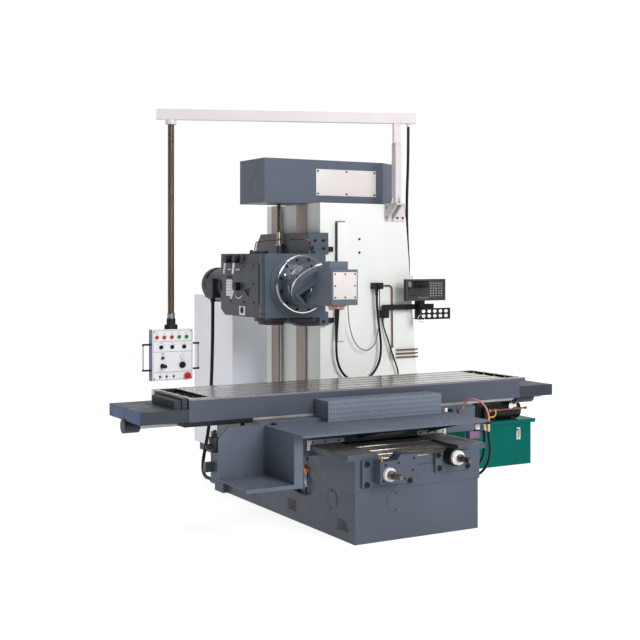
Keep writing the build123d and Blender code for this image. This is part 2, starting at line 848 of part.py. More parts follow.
# Bed casting: box with wing ways, a channel between them and ribbed pockets below
with BuildPart() as bed:
    upper = around(0, BED_HALF + BED_PROUD)
    block(around(0, BED_HALF), (BED_FRONT, COLUMN_FRONT), (0, BED_STEP_Z))
    block(upper, (FRONT_FACE, COLUMN_FRONT), (BED_STEP_Z, WING_LOW))
    block(around(0, WING_HALF), (FRONT_FACE, WAY_REAR), (WING_LOW, BED_HEIGHT))
    block((0, REAR_FOOT_RIGHT), (REAR_FOOT_FRONT, COLUMN_FRONT), (0, REAR_FOOT_HEIGHT))
    block(around(0, CHANNEL_HALF), (FRONT_FACE, WAY_REAR), (CHANNEL_FLOOR, BED_HEIGHT), CUT)
    trough = around(Y_SCREW_X, TROUGH_HALF)
    block(trough, (TROUGH_FRONT, WAY_REAR), (TROUGH_FLOOR, CHANNEL_FLOOR), CUT)
    block(trough, (WAY_REAR, TROUGH_REAR), (TROUGH_FLOOR, CHANNEL_FLOOR), CUT)
    seat = (TROUGH_FRONT - Y_SCREW_SEAT, TROUGH_REAR + Y_SCREW_SEAT / 2)
    rod("y", Y_SCREW_R + RUN_GAP, (Y_SCREW_X, Y_SCREW_Z), seat, CUT)
    for row in range(RIB_ROWS):
        start = (row - RIB_ROWS / 2) * RIB_STEP_Y + RIB_HALF / 2
        for side in (-1, 1):
            pocket = sorted((side * RIB_HALF, side * (RIB_HALF + RIB_POCKET)))
            block(pocket, (start, start + RIB_POCKET_LONG), (0, RIB_POCKET_HIGH), CUT)
    for side in (-1, 1):
        for end in (-1, 1):
            bolt_y = end * BOLT_SPACING_Y / 2
            face = sorted((side * BED_HALF, side * (BED_HALF - BOLT_POCKET_DEEP)))
            inner = bolt_y - end * BOLT_POCKET_WIDE / 2
            outer = bolt_y + end * BOLT_POCKET_WIDE / 2
            pocket = (
                (inner, BOLT_LEDGE),
                (inner, BOLT_LEDGE + BOLT_POCKET_HIGH),
                (outer - end * BOLT_POCKET_SLOPE, BOLT_LEDGE + BOLT_POCKET_HIGH - BOLT_POCKET_LIP),
                (outer, BOLT_LEDGE + BOLT_POCKET_LIP),
                (outer, BOLT_LEDGE),
            )
            slab_x(pocket, face, CUT)
            rod("z", BOLT_HOLE_R, (side * BOLT_SPACING_X / 2, bolt_y), (0, BOLT_LEDGE), CUT)
        lift_face = sorted((side * BED_HALF, side * (BED_HALF - LIFT_POCKET_DEEP)))
        lift_z = (BOLT_LEDGE, BOLT_LEDGE + BOLT_POCKET_HIGH)
        block(lift_face, around(LIFT_POCKET_Y, LIFT_POCKET_HALF), lift_z, CUT)
    block(REAR_BOX_X, (COLUMN_FRONT, REAR_BOX_REAR), REAR_BOX_Z)
    block(REAR_BOX_X, (COLUMN_FRONT, REAR_PAD_REAR), (0, REAR_PAD_HIGH))
    lug_x = (REAR_BOX_X[0] - REAR_LUG_OUT, REAR_BOX_X[0])
    block(lug_x, (REAR_BOX_REAR - REAR_LUG_LONG, REAR_BOX_REAR), REAR_LUG_Z)
    hose_x = (BED_HALF, FRONT_HOSE[-1][0] + PORT_EDGE)
    hose_y = (FRONT_HOSE[-1][1], FRONT_HOSE[-1][1] + PORT_EDGE)
    block(hose_x, hose_y, (FRONT_HOSE[-1][2] - PORT_EDGE, REAR_HOSE[-1][2] + PORT_EDGE))
    cable_end = MOTOR_CABLE[-1]
    rod("y", GLAND_R, (cable_end[0], cable_end[2]), (REAR_BOX_REAR, cable_end[1]))
save(bed, "bed")

# Folded cover over the front of the channel
with BuildPart() as way_cover:
    tops = [COVER_FRONT_TOP + COVER_RISE * k for k in range(len(COVER_STEPS_Y) - 1)]
    outline = [(COVER_STEPS_Y[0], CHANNEL_FLOOR)]
    inside = [(COVER_STEPS_Y[0] + COVER_SHEET, CHANNEL_FLOOR)]
    for k, top in enumerate(tops):
        outline += [(COVER_STEPS_Y[k], top), (COVER_STEPS_Y[k + 1], top)]
        left = COVER_STEPS_Y[k] + COVER_SHEET
        right = COVER_STEPS_Y[k + 1] + COVER_SHEET
        if k == len(tops) - 1:
            right = COVER_STEPS_Y[k + 1] - COVER_SHEET
        inside += [(left, top - COVER_SHEET), (right, top - COVER_SHEET)]
    outline.append((COVER_STEPS_Y[-1], CHANNEL_FLOOR))
    inside.append((COVER_STEPS_Y[-1] - COVER_SHEET, CHANNEL_FLOOR))
    slab_x(outline + inside[::-1], around(0, CHANNEL_HALF - COVER_SIDE_GAP))
save(way_cover, "way_cover")

# Hand feed cases bolted to the bed front: cross feed at left, lift feed at right
with BuildPart() as feed_cases:
    flange = (FRONT_FACE - CASE_FLANGE, FRONT_FACE)
    block(CROSS_FLANGE_X, flange, CROSS_FLANGE_Z)
    slab_y(CROSS_CASE, (CASE_FRONT, FRONT_FACE - CASE_FLANGE))
    bore = (CASE_FRONT, CASE_FRONT + SHAFT_SEAT + RUN_GAP)
    rod("y", CROSS_SHAFT_R + RUN_GAP, (CROSS_SHAFT_X, CROSS_SHAFT_Z), bore, CUT)
    block(LIFT_FLANGE_X, flange, LIFT_FLANGE_Z)
    lift_front = FRONT_FACE - CASE_FLANGE - LIFT_BOSS_DEEP
    rod("y", LIFT_BOSS_R, (LIFT_SHAFT_X, LIFT_SHAFT_Z), (lift_front, FRONT_FACE - CASE_FLANGE))
    bore = (lift_front, lift_front + SHAFT_SEAT + RUN_GAP)
    rod("y", LIFT_SHAFT_R + RUN_GAP, (LIFT_SHAFT_X, LIFT_SHAFT_Z), bore, CUT)
save(feed_cases, "feed_cases")


def feed_shaft(name, x, z, radius, dial_r, front):
    """A hand feed shaft with its dial and a square crank end."""
    with BuildPart() as shaft:
        rod("y", radius, (x, z), (front - SHAFT_REACH, front + SHAFT_SEAT))
        rod("y", dial_r, (x, z), (front - SEAT_GAP - DIAL_THICK, front - SEAT_GAP))
        hub_back = front - SEAT_GAP - DIAL_THICK
        rod("y", radius + DIAL_HUB_STEP, (x, z), (hub_back - DIAL_HUB_LONG, hub_back))
        with BuildSketch(Plane.XZ.offset(SHAFT_REACH - front - SQUARE_END)) as corners:
            with Locations((x, z)):
                Rectangle(3 * radius, 3 * radius)
                Rectangle(SQUARE_SHARE * radius, SQUARE_SHARE * radius, mode=CUT)
        extrude(corners.sketch, amount=SQUARE_END, mode=CUT)
    save(shaft, name)


feed_shaft("cross_feed_shaft", CROSS_SHAFT_X, CROSS_SHAFT_Z, CROSS_SHAFT_R, CROSS_DIAL_R, CASE_FRONT)
feed_shaft("lift_feed_shaft", LIFT_SHAFT_X, LIFT_SHAFT_Z, LIFT_SHAFT_R, LIFT_DIAL_R, lift_front)

# Cross screw in the bed trough
with BuildPart() as y_screw:
    ends = (TROUGH_FRONT - Y_SCREW_SEAT + END_PLAY, TROUGH_REAR + Y_SCREW_SEAT / 2 - END_PLAY)
    rod("y", Y_SCREW_R, (Y_SCREW_X, Y_SCREW_Z), ends)
save(y_screw, "y_screw")

# Saddle casting with keel, keepers under the wings, table ways and both nuts
with BuildPart() as saddle:
    block((SADDLE_LEFT, SADDLE_RIGHT), (SADDLE_FRONT, SADDLE_REAR), (SADDLE_LOW, SADDLE_TOP))
    rise = (SADDLE_TOP, SADDLE_TOP + WAY_RISE)
    block((WAY_LEFT, SADDLE_LEFT), (SADDLE_FRONT, FRONT_WAY_BACK), (SADDLE_LOW, SADDLE_TOP))
    block((WAY_LEFT, SADDLE_RIGHT), (TABLE_FRONT, FRONT_WAY_BACK), rise)
    guard_z = (rise[1] - GUARD_HIGH, rise[1])
    block((GUARD_LEFT, WAY_LEFT), (TABLE_FRONT, FRONT_WAY_BACK), guard_z)
    block((SADDLE_LEFT, SADDLE_RIGHT), (REAR_WAY_FRONT, TABLE_BACK), rise)
    groove = around(X_SCREW_Y, X_GROOVE_HALF)
    block((SADDLE_LEFT, SADDLE_RIGHT), groove, (SADDLE_TOP - X_GROOVE_DEEP, SADDLE_TOP), CUT)
    block(around(0, X_NUT_HALF), groove, (SADDLE_TOP - X_GROOVE_DEEP, TABLE_LOW - END_PLAY))
    rod("x", X_SCREW_R + RUN_GAP, (X_SCREW_Y, X_SCREW_Z), around(0, X_NUT_HALF), CUT)
    keel = around(0, CHANNEL_HALF - SLIDE_GAP)
    block(keel, (KEEL_FRONT, KEEL_REAR), (SADDLE_LOW - KEEL_DEEP, SADDLE_LOW))
    for side in (-1, 1):
        inner = side * (WING_HALF + SLIDE_GAP)
        outer = inner + side * APRON_THICK
        apron = (WING_LOW - SLIDE_GAP - LIP_THICK, SADDLE_LOW)
        block(sorted((inner, outer)), (APRON_FRONT, KEEL_REAR), apron)
        lip = (WING_LOW - SLIDE_GAP - LIP_THICK, WING_LOW - SLIDE_GAP)
        block(sorted((side * LIP_IN, outer)), (APRON_FRONT, KEEL_REAR), lip)
    nut_y = (Y_NUT_FRONT, Y_NUT_FRONT + Y_NUT_LONG)
    block(around(Y_SCREW_X, Y_NUT_HALF), nut_y, (Y_NUT_BOTTOM, SADDLE_LOW))
    rod("y", Y_SCREW_R + RUN_GAP, (Y_SCREW_X, Y_SCREW_Z), nut_y, CUT)
    for x in SADDLE_POCKET_XS:
        for y in SADDLE_POCKET_YS:
            block(x, y, (SADDLE_LOW, SADDLE_LOW + SADDLE_HIGH / 2), CUT)
    lube_start = Vector(*LUBE_HOSE[0])
    lube_run = (Vector(*LUBE_HOSE[1]) - lube_start).normalized()
    bar(lube_start - lube_run * LUBE_GLAND, lube_run, LUBE_HOSE_D, LUBE_GLAND)
save(saddle, "saddle")

# Operator platform with the side step, its gussets and the hose block at the right end
with BuildPart() as platform:
    top = (PLATFORM_TOP - PLATE, PLATFORM_TOP)
    block((PLATFORM_LEFT, PLATFORM_RIGHT), (PLATFORM_FRONT, SADDLE_FRONT), top)
    lip = (PLATFORM_TOP - PLATFORM_LIP, PLATFORM_TOP)
    block((PLATFORM_LEFT, PLATFORM_RIGHT), (PLATFORM_FRONT, PLATFORM_FRONT + PLATE), lip)
    block((STEP_LEFT, PLATFORM_LEFT), (STEP_FRONT, SADDLE_FRONT), (STEP_TOP - PLATE, STEP_TOP))
    block((STEP_LEFT, PLATFORM_LEFT), (STEP_FRONT, STEP_FRONT + PLATE), (STEP_TOP - STEP_LIP, STEP_TOP))
    riser = (PLATFORM_LEFT, PLATFORM_LEFT + PLATE)
    block(riser, (STEP_FRONT, SADDLE_FRONT), (STEP_TOP - STEP_LIP, PLATFORM_TOP - PLATE))
    flange = (PLATFORM_LEFT, PLATFORM_LEFT + STEP_FLANGE)
    block(flange, (STEP_FRONT, STEP_FRONT + PLATE), (STEP_TOP - STEP_LIP, PLATFORM_TOP - PLATE))
    back_top = SADDLE_TOP - PLATE
    back = (
        (STEP_LEFT, STEP_TOP - STEP_LIP),
        (PLATFORM_LEFT, STEP_TOP - STEP_LIP),
        (PLATFORM_LEFT, back_top),
        (STEP_LEFT + STEP_CORNER, back_top),
        (STEP_LEFT, back_top - STEP_CORNER),
    )
    slab_y(back, (SADDLE_FRONT - PLATE, SADDLE_FRONT))
    gusset = (
        (SADDLE_FRONT, GUSSET_LOW),
        (SADDLE_FRONT, PLATFORM_TOP - PLATE),
        (GUSSET_FRONT, PLATFORM_TOP - PLATE),
        (GUSSET_FRONT, PLATFORM_TOP - PLATFORM_LIP),
    )
    for x in GUSSET_XS:
        slab_x(gusset, around(x, PLATE / 2))
    hose_side = (PLATFORM_RIGHT - HOSE_PLATE_IN, PLATFORM_RIGHT + HOSE_PLATE_OUT)
    block(hose_side, HOSE_PLATE_Y, (FRONT_HOSE[0][2], PLATFORM_TOP - PLATE))
    block(LUBE_BLOCK_X, LUBE_BLOCK_Y, LUBE_BLOCK_Z)
    block(LUBE_POST_X, LUBE_POST_Y, (LUBE_BLOCK_Z[1], PLATFORM_TOP - PLATE))
save(platform, "platform")

# Diamond-plate box between platform and table
with BuildPart() as feed_box:
    box_top = PLATFORM_TOP + BOX_HIGH
    box_rear = TABLE_FRONT - BOX_TABLE_GAP
    block(around(0, BOX_HALF), (BOX_FRONT, SADDLE_FRONT), (PLATFORM_TOP, box_top))
    block(around(0, BOX_HALF), (SADDLE_FRONT, box_rear), (SADDLE_TOP, box_top))
    bay = (2 * BOX_HALF - (BOX_BAYS + 1) * BOX_WALL) / BOX_BAYS
    for k in range(BOX_BAYS):
        left = -BOX_HALF + BOX_WALL + k * (bay + BOX_WALL)
        hollow = (BOX_FRONT + BOX_WALL, box_rear - BOX_WALL)
        block((left, left + bay), hollow, (PLATFORM_TOP, box_top - BOX_WALL), CUT)
save(feed_box, "feed_box")

# Table with T-slots, end gutters and guide ribs below
with BuildPart() as table:
    block(around(0, TABLE_HALF), (TABLE_FRONT, TABLE_BACK), (TABLE_LOW, TABLE_TOP))
    middle = TABLE_FRONT + TABLE_WIDE / 2
    for k in range(SLOT_COUNT):
        y = middle + (k - (SLOT_COUNT - 1) / 2) * SLOT_STEP
        neck = (TABLE_TOP - SLOT_NECK, TABLE_TOP)
        foot = (TABLE_TOP - SLOT_NECK - SLOT_FOOT_HIGH, TABLE_TOP - SLOT_NECK)
        block(around(0, TABLE_HALF), around(y, SLOT_WIDE / 2), neck, CUT)
        block(around(0, TABLE_HALF), around(y, SLOT_FOOT_WIDE / 2), foot, CUT)
    for side in (-1, 1):
        outer = side * (TABLE_HALF - GUTTER_EDGE)
        gutter = sorted((outer, outer - side * GUTTER_WIDE))
        span = (TABLE_FRONT + GUTTER_EDGE, TABLE_BACK - GUTTER_EDGE)
        block(gutter, span, (TABLE_TOP - GUTTER_DEEP, TABLE_TOP), CUT)
    step = (TABLE_HALF - END_STEP, TABLE_HALF)
    block(step, (TABLE_FRONT, TABLE_BACK), (TABLE_LOW, TABLE_TOP - END_FLANGE), CUT)
    front_rib = (FRONT_WAY_BACK + SLIDE_GAP, FRONT_WAY_BACK + RIB_GUIDE_WIDE)
    rear_rib = (REAR_WAY_FRONT - RIB_GUIDE_WIDE, REAR_WAY_FRONT - SLIDE_GAP)
    for rib in (front_rib, rear_rib):
        block((-TABLE_HALF, TABLE_HALF - END_STEP), rib, (TABLE_LOW - RIB_GUIDE_HIGH, TABLE_LOW))
save(table, "table")

# Hoods at both table ends, each with a bearing for the table screw, and the stop at the left
with BuildPart() as table_trays:
    hood_low = TABLE_LOW + HOOD_LIFT
    hood_top = hood_low + HOOD_HIGH
    hood_ends = (-TABLE_HALF - HOOD_LONGS[0], TABLE_HALF - END_STEP + HOOD_LONGS[1])
    hood_starts = (-TABLE_HALF, TABLE_HALF - END_STEP)
    housing_ends = (hood_ends[0] - X_HOUSING_OUTS[0], hood_ends[1] + X_HOUSING_OUTS[1])
    for side, inner, outer, cap_out, cap_long in zip(
        (-1, 1), hood_starts, hood_ends, housing_ends, X_HOUSING_LONGS
    ):
        ends = sorted((inner, outer))
        block(ends, (TABLE_FRONT, HOOD_REAR), (hood_low, hood_top))
        hollow = (ends[0] + HOOD_SHEET, ends[1] - HOOD_SHEET)
        span = (TABLE_FRONT + HOOD_SHEET, HOOD_REAR - HOOD_SHEET)
        block(hollow, span, (hood_low, hood_top - HOOD_SHEET), CUT)
        cap_in = cap_out - side * cap_long
        web = sorted((cap_in, outer))
        block(web, around(X_SCREW_Y, X_HOUSING_R / 2), (X_SCREW_Z, hood_top))
        rod("x", X_HOUSING_R, (X_SCREW_Y, X_SCREW_Z), sorted((cap_in, cap_out)))
        bore = sorted((cap_in, cap_out - side * HOOD_SHEET))
        rod("x", X_SCREW_R + RUN_GAP, (X_SCREW_Y, X_SCREW_Z), bore, CUT)
    crank_hole = (housing_ends[1] - HOOD_SHEET, housing_ends[1])
    rod("x", X_CRANK_R + RUN_GAP, (X_SCREW_Y, X_SCREW_Z), crank_hole, CUT)
    stop = (-TABLE_HALF - STOP_BAR_LONG, -TABLE_HALF)
    block(stop, STOP_BAR_Y, (hood_top, hood_top + STOP_BAR_HIGH))
    stop = (-TABLE_HALF - STOP_BAR_LONG - STOP_BLOCK_LONG, -TABLE_HALF - STOP_BAR_LONG)
    block(stop, STOP_BLOCK_Y, (hood_top, hood_top + STOP_BLOCK_HIGH))
save(table_trays, "table_trays")

# Table screw along X, with a crank end at the right
with BuildPart() as x_screw:
    inset = HOOD_SHEET + END_PLAY
    screw_x = (housing_ends[0] + inset, housing_ends[1] - inset)
    rod("x", X_SCREW_R, (X_SCREW_Y, X_SCREW_Z), screw_x)
    rod("x", X_CRANK_R, (X_SCREW_Y, X_SCREW_Z), (screw_x[1], housing_ends[1] + X_CRANK_OUT))
save(x_screw, "x_screw")

# Column casting: tapered box with ways on its left face and ribbed cells inside
with BuildPart() as column:
    outline = (
        (COLUMN_LEFT, 0),
        (COLUMN_RIGHT_LOW, 0),
        (COLUMN_RIGHT_HIGH, COLUMN_HEIGHT),
        (COLUMN_LEFT, COLUMN_HEIGHT),
    )
    slab_y(outline, (COLUMN_FRONT, COLUMN_REAR))
    flange = (COLUMN_FRONT, COLUMN_REAR + COLUMN_FLANGE)
    block((COLUMN_LEFT, COLUMN_RIGHT_LOW + COLUMN_FLANGE), flange, (0, COLUMN_FLANGE_HIGH))
    tall = (COLUMN_FLANGE_HIGH, COLUMN_HEIGHT)
    set_back = (COLUMN_LEFT, COLUMN_LEFT + WAY_SET_BACK)
    block(set_back, (COLUMN_FRONT, NEAR_WAY[0]), tall, CUT)
    block(set_back, (FAR_WAY[1], COLUMN_REAR), tall, CUT)
    block((COLUMN_LEFT, RECESS_X), (NEAR_WAY[1], FAR_WAY[0]), tall, CUT)
    hook = (COLUMN_LEFT + UNDERCUT_START, RECESS_X)
    block(hook, (NEAR_WAY[1] - UNDERCUT, NEAR_WAY[1]), tall, CUT)
    block(hook, (FAR_WAY[0], FAR_WAY[0] + UNDERCUT), tall, CUT)
    for x in (CELL_LEFT, CELL_RIGHT):
        for y in (CELL_FRONT, CELL_REAR):
            block(x, y, (0, CELL_Z_TOP), CUT)
    shaft = around(WEIGHT_X, SHAFT_SIDE / 2)
    block(shaft, around(CHAIN_Y, SHAFT_SIDE / 2), (SHAFT_FLOOR, COLUMN_HEIGHT), CUT)
    cell_z = (Z_SCREW_LOW + Z_SCREW_SEAT, Z_SCREW_TOP - Z_SCREW_SEAT)
    block(around(Z_SCREW_X, Z_CELL_HALF), around(Z_SCREW_Y, Z_CELL_HALF), cell_z, CUT)
    slot_z = (ARM_LOW - HEAD_DOWN - ARM_ROOM, ARM_LOW + ARM_HIGH + HEAD_UP + ARM_ROOM)
    slot_x = (RECESS_X, Z_SCREW_X - Z_CELL_HALF)
    block(slot_x, around(Z_SCREW_Y, ARM_HALF + ARM_SIDE_ROOM), slot_z, CUT)
    seat = (Z_SCREW_LOW - END_PLAY, Z_SCREW_TOP + END_PLAY)
    rod("z", Z_SCREW_R + RUN_GAP, (Z_SCREW_X, Z_SCREW_Y), seat, CUT)
    bracket_y = (READOUT_Y - READOUT_PIN_R - READOUT_WALL, COLUMN_FRONT)
    bracket_z = (READOUT_Z - READOUT_BRACKET_HIGH, READOUT_Z)
    block(around(READOUT_X, READOUT_BRACKET), bracket_y, bracket_z)
    pin = (READOUT_Z - READOUT_BRACKET_HIGH, READOUT_Z)
    rod("z", READOUT_PIN_R + RUN_GAP, (READOUT_X, READOUT_Y), pin, CUT)
    cable_end = READOUT_CABLE[-1]
    box_z = (cable_end[2] - CABLE_BOX_HIGH, cable_end[2])
    block(around(cable_end[0], FRONT_BOX_HALF), (cable_end[1] - FRONT_BOX_OUT, COLUMN_FRONT), box_z)
    cable_end = BOOM_CABLE[-1]
    box_z = (cable_end[2] - CABLE_BOX_HIGH, cable_end[2])
    side_x = (COLUMN_RIGHT_HIGH, cable_end[0] + SIDE_BOX_HALF)
    block(side_x, around(cable_end[1], SIDE_BOX_HALF), box_z)
save(column, "column")

# Lift screw inside the column
with BuildPart() as z_screw:
    rod("z", Z_SCREW_R, (Z_SCREW_X, Z_SCREW_Y), (Z_SCREW_LOW, Z_SCREW_TOP))
save(z_screw, "z_screw")

# Counterweight in the column shaft
with BuildPart() as counterweight:
    side = WEIGHT_SIDE / 2
    block(around(WEIGHT_X, side), around(CHAIN_Y, side), (WEIGHT_LOW, WEIGHT_TOP))
    block(around(WEIGHT_X, CHAIN_WIDE), around(CHAIN_Y, CHAIN_WIDE), (WEIGHT_TOP, WEIGHT_TOP + WEIGHT_EYE))
save(counterweight, "counterweight")

# Balance chain from the head over both wheels to the counterweight
FRONT_WHEEL_X = CHAIN_X + CHAIN_BEND
REAR_WHEEL_X = WEIGHT_X - CHAIN_BEND
with BuildPart() as lift_chain:
    with BuildSketch(Plane.XZ.offset(-CHAIN_Y)) as profile:
        with BuildLine():
            for half in (CHAIN_THICK / 2, -CHAIN_THICK / 2):
                bend = CHAIN_BEND + half
                Line((CHAIN_X - half, CLEVIS_TOP), (CHAIN_X - half, WHEEL_Z))
                CenterArc((FRONT_WHEEL_X, WHEEL_Z), bend, 90, 90)
                Line((FRONT_WHEEL_X, WHEEL_Z + bend), (REAR_WHEEL_X, WHEEL_Z + bend))
                CenterArc((REAR_WHEEL_X, WHEEL_Z), bend, 0, 90)
                Line((WEIGHT_X + half, WHEEL_Z), (WEIGHT_X + half, WEIGHT_TOP + WEIGHT_EYE))
            low = WEIGHT_TOP + WEIGHT_EYE
            Line((CHAIN_X - CHAIN_THICK / 2, CLEVIS_TOP), (CHAIN_X + CHAIN_THICK / 2, CLEVIS_TOP))
            Line((WEIGHT_X - CHAIN_THICK / 2, low), (WEIGHT_X + CHAIN_THICK / 2, low))
        make_face()
    extrude(profile.sketch, amount=CHAIN_WIDE / 2, both=True)
save(lift_chain, "lift_chain")


def chain_wheel(name, x):
    """A chain wheel with its hub and axle."""
    with BuildPart() as wheel:
        rim = CHAIN_BEND - CHAIN_THICK / 2 - SEAT_GAP
        rod("y", rim, (x, WHEEL_Z), around(CHAIN_Y, WHEEL_HALF))
        rod("y", HUB_R, (x, WHEEL_Z), around(CHAIN_Y, HUB_HALF))
        rod("y", AXLE_R, (x, WHEEL_Z), around(CHAIN_Y, HUB_HALF + BEARING_PLATE))
    save(wheel, name)


chain_wheel("front_chain_wheel", FRONT_WHEEL_X)
chain_wheel("rear_chain_wheel", REAR_WHEEL_X)

# Top cover over the chain wheels, with the two plates that carry their axles
with BuildPart() as top_cover:
    outline = (
        (CAP_LEFT, CAP_FRONT),
        (CAP_FRONT_RIGHT, CAP_FRONT),
        (CAP_RIGHT, CAP_FRONT + CAP_CORNER),
        (CAP_RIGHT, CAP_REAR),
        (CAP_LEFT, CAP_REAR),
    )
    slab_z(outline, (COLUMN_HEIGHT, COLUMN_HEIGHT + CAP_HIGH))
    with BuildSketch(Plane.XY.offset(COLUMN_HEIGHT + CAP_SHEET)) as hollow:
        with BuildLine():
            Polyline(*outline, close=True)
        make_face()
        offset(amount=-CAP_SHEET, kind=Kind.INTERSECTION, mode=Mode.REPLACE)
    extrude(hollow.sketch, amount=CAP_HIGH - 2 * CAP_SHEET, mode=CUT)
    plate_z = (COLUMN_HEIGHT, COLUMN_HEIGHT + BEARING_HIGH)
    plate_x = (CAP_LEFT + BEARING_END, CAP_FRONT_RIGHT - BEARING_END)
    for side in (-1, 1):
        near = CHAIN_Y + side * (HUB_HALF + SEAT_GAP)
        block(plate_x, sorted((near, near + side * BEARING_PLATE)), plate_z)
    for x in (FRONT_WHEEL_X, REAR_WHEEL_X):
        rod("y", AXLE_R + RUN_GAP, (x, WHEEL_Z), around(CHAIN_Y, HUB_HALF + 2 * BEARING_PLATE), CUT)
    for x in (CHAIN_X, WEIGHT_X):
        floor = (COLUMN_HEIGHT, COLUMN_HEIGHT + CAP_SHEET)
        block(around(x, CHAIN_HOLE / 2), around(CHAIN_Y, CHAIN_HOLE / 2), floor, CUT)
save(top_cover, "top_cover")

# Head slide on the column ways, with keepers, nut arm, clamps and hose arm
with BuildPart() as head_slide:
    outline = (
        (SLIDE_FRONT, SLIDE_LOW),
        (SLIDE_REAR, SLIDE_LOW),
        (SLIDE_REAR, SLIDE_TOP - SLIDE_CORNER[1]),
        (SLIDE_REAR - SLIDE_CORNER[0], SLIDE_TOP),
        (SLIDE_FRONT, SLIDE_TOP),
    )
    slab_x(outline, (SLIDE_LEFT, SLIDE_FACE))
    keeper_z = (SLIDE_LOW, SLIDE_TOP - SLIDE_CORNER[1])
    hook_x = (COLUMN_LEFT + UNDERCUT_START + SLIDE_GAP, RECESS_X - SLIDE_GAP)
    near = NEAR_WAY[1] + SLIDE_GAP
    block((SLIDE_FACE, hook_x[1]), (near, near + KEEPER_LEG), keeper_z)
    block(hook_x, (near - UNDERCUT + KEEPER_ROOM, near + KEEPER_LEG), keeper_z)
    far = FAR_WAY[0] - SLIDE_GAP
    block((SLIDE_FACE, hook_x[1]), (far - KEEPER_LEG, far), keeper_z)
    block(hook_x, (far - KEEPER_LEG, far + UNDERCUT - KEEPER_ROOM), keeper_z)
    arm_z = (ARM_LOW, ARM_LOW + ARM_HIGH)
    block((SLIDE_FACE, Z_SCREW_X + ARM_PAST), around(Z_SCREW_Y, ARM_HALF), arm_z)
    block(around(Z_SCREW_X, ARM_PAST), around(Z_SCREW_Y, ARM_PAST + ARM_SIDE_ROOM), arm_z)
    rod("z", Z_SCREW_R + RUN_GAP, (Z_SCREW_X, Z_SCREW_Y), arm_z, CUT)
    clamp_low = (SLIDE_LOW, SLIDE_LOW + CLAMP_LOW_HIGH)
    clamp_top = (SLIDE_TOP - CLAMP_TOP_HIGH, SLIDE_TOP)
    for clamp in (clamp_low, clamp_top):
        block((SLIDE_FACE, CLAMP_X), (SLIDE_FRONT, COLUMN_FRONT - CLAMP_GAP), clamp)
    block((SLIDE_FACE, HOSE_ARM_X), HOSE_ARM_Y, HOSE_ARM_Z)
save(head_slide, "head_slide")

# Gearbox casting with the chain boss and clevis on top
with BuildPart() as gearbox:
    outline = (
        (GEARBOX_FRONT, GEARBOX_LOW),
        (GEARBOX_REAR - GEARBOX_CORNER[0], GEARBOX_LOW),
        (GEARBOX_REAR, GEARBOX_LOW + GEARBOX_CORNER[1]),
        (GEARBOX_REAR, GEARBOX_TOP),
        (GEARBOX_FRONT, GEARBOX_TOP),
    )
    slab_x(outline, (GEARBOX_LEFT, SLIDE_LEFT))
    with BuildSketch(Plane.XZ.offset(-GEARBOX_FRONT)) as seat:
        with Locations(((GEARBOX_LEFT + SLIDE_LEFT) / 2, (GEARBOX_LOW + GEARBOX_TOP) / 2)):
            Rectangle(SLIDE_LEFT - GEARBOX_LEFT, GEARBOX_TOP - GEARBOX_LOW)
        with Locations((SWIVEL_X, SWIVEL_Z)):
            Circle(SEAT_BOSS_R, mode=Mode.INTERSECT)
    extrude(seat.sketch, amount=SEAT_BOSS)
    for cell in (GEAR_CELL_FRONT, GEAR_CELL_REAR):
        block(GEAR_CELL_X, cell, GEAR_CELL_Z, CUT)
    passage = (GEAR_CELL_FRONT[1], GEAR_CELL_REAR[0])
    rod("y", PINION_R, (SWIVEL_X, SWIVEL_Z), passage, CUT)
    rod("y", STATOR_R, (MOTOR_X, MOTOR_Z), (GEAR_CELL_REAR[1], GEARBOX_REAR), CUT)
    rod("y", SPIGOT_R, (SWIVEL_X, SWIVEL_Z), (SEAT_FACE, GEARBOX_FRONT + SPIGOT_LONG + END_PLAY), CUT)
    for hub in LEVER_HUBS:
        hole = (GEARBOX_LEFT, GEARBOX_LEFT + LEVER_SHAFT_IN + END_PLAY)
        rod("x", LEVER_SHAFT_R + RUN_GAP, hub, hole, CUT)
    boss_top = GEARBOX_TOP + BOSS_HIGH
    rod("z", BOSS_R, (CHAIN_X, CHAIN_Y), (GEARBOX_TOP, boss_top))
    rod("z", CLEVIS_R, (CHAIN_X, CHAIN_Y), (boss_top, CLEVIS_TOP))
save(gearbox, "gearbox")


def speed_lever(name, hub, lean):
    """A lever hub on the gearbox face with its shaft and bright rod."""
    with BuildPart() as lever:
        face = GEARBOX_LEFT - SEAT_GAP
        rod("x", LEVER_HUB_R, hub, (face - LEVER_HUB_LONG, face))
        rod("x", LEVER_SHAFT_R, hub, (face - LEVER_HUB_LONG, GEARBOX_LEFT + LEVER_SHAFT_IN))
        bar((face - LEVER_ROD_OUT, hub[0], hub[1]), lean, LEVER_ROD_R, LEVER_ROD_LONG)
    save(lever, name)


for name, hub, lean in zip(LEVER_NAMES, LEVER_HUBS, LEVER_LEANS):
    speed_lever(name, hub, lean)

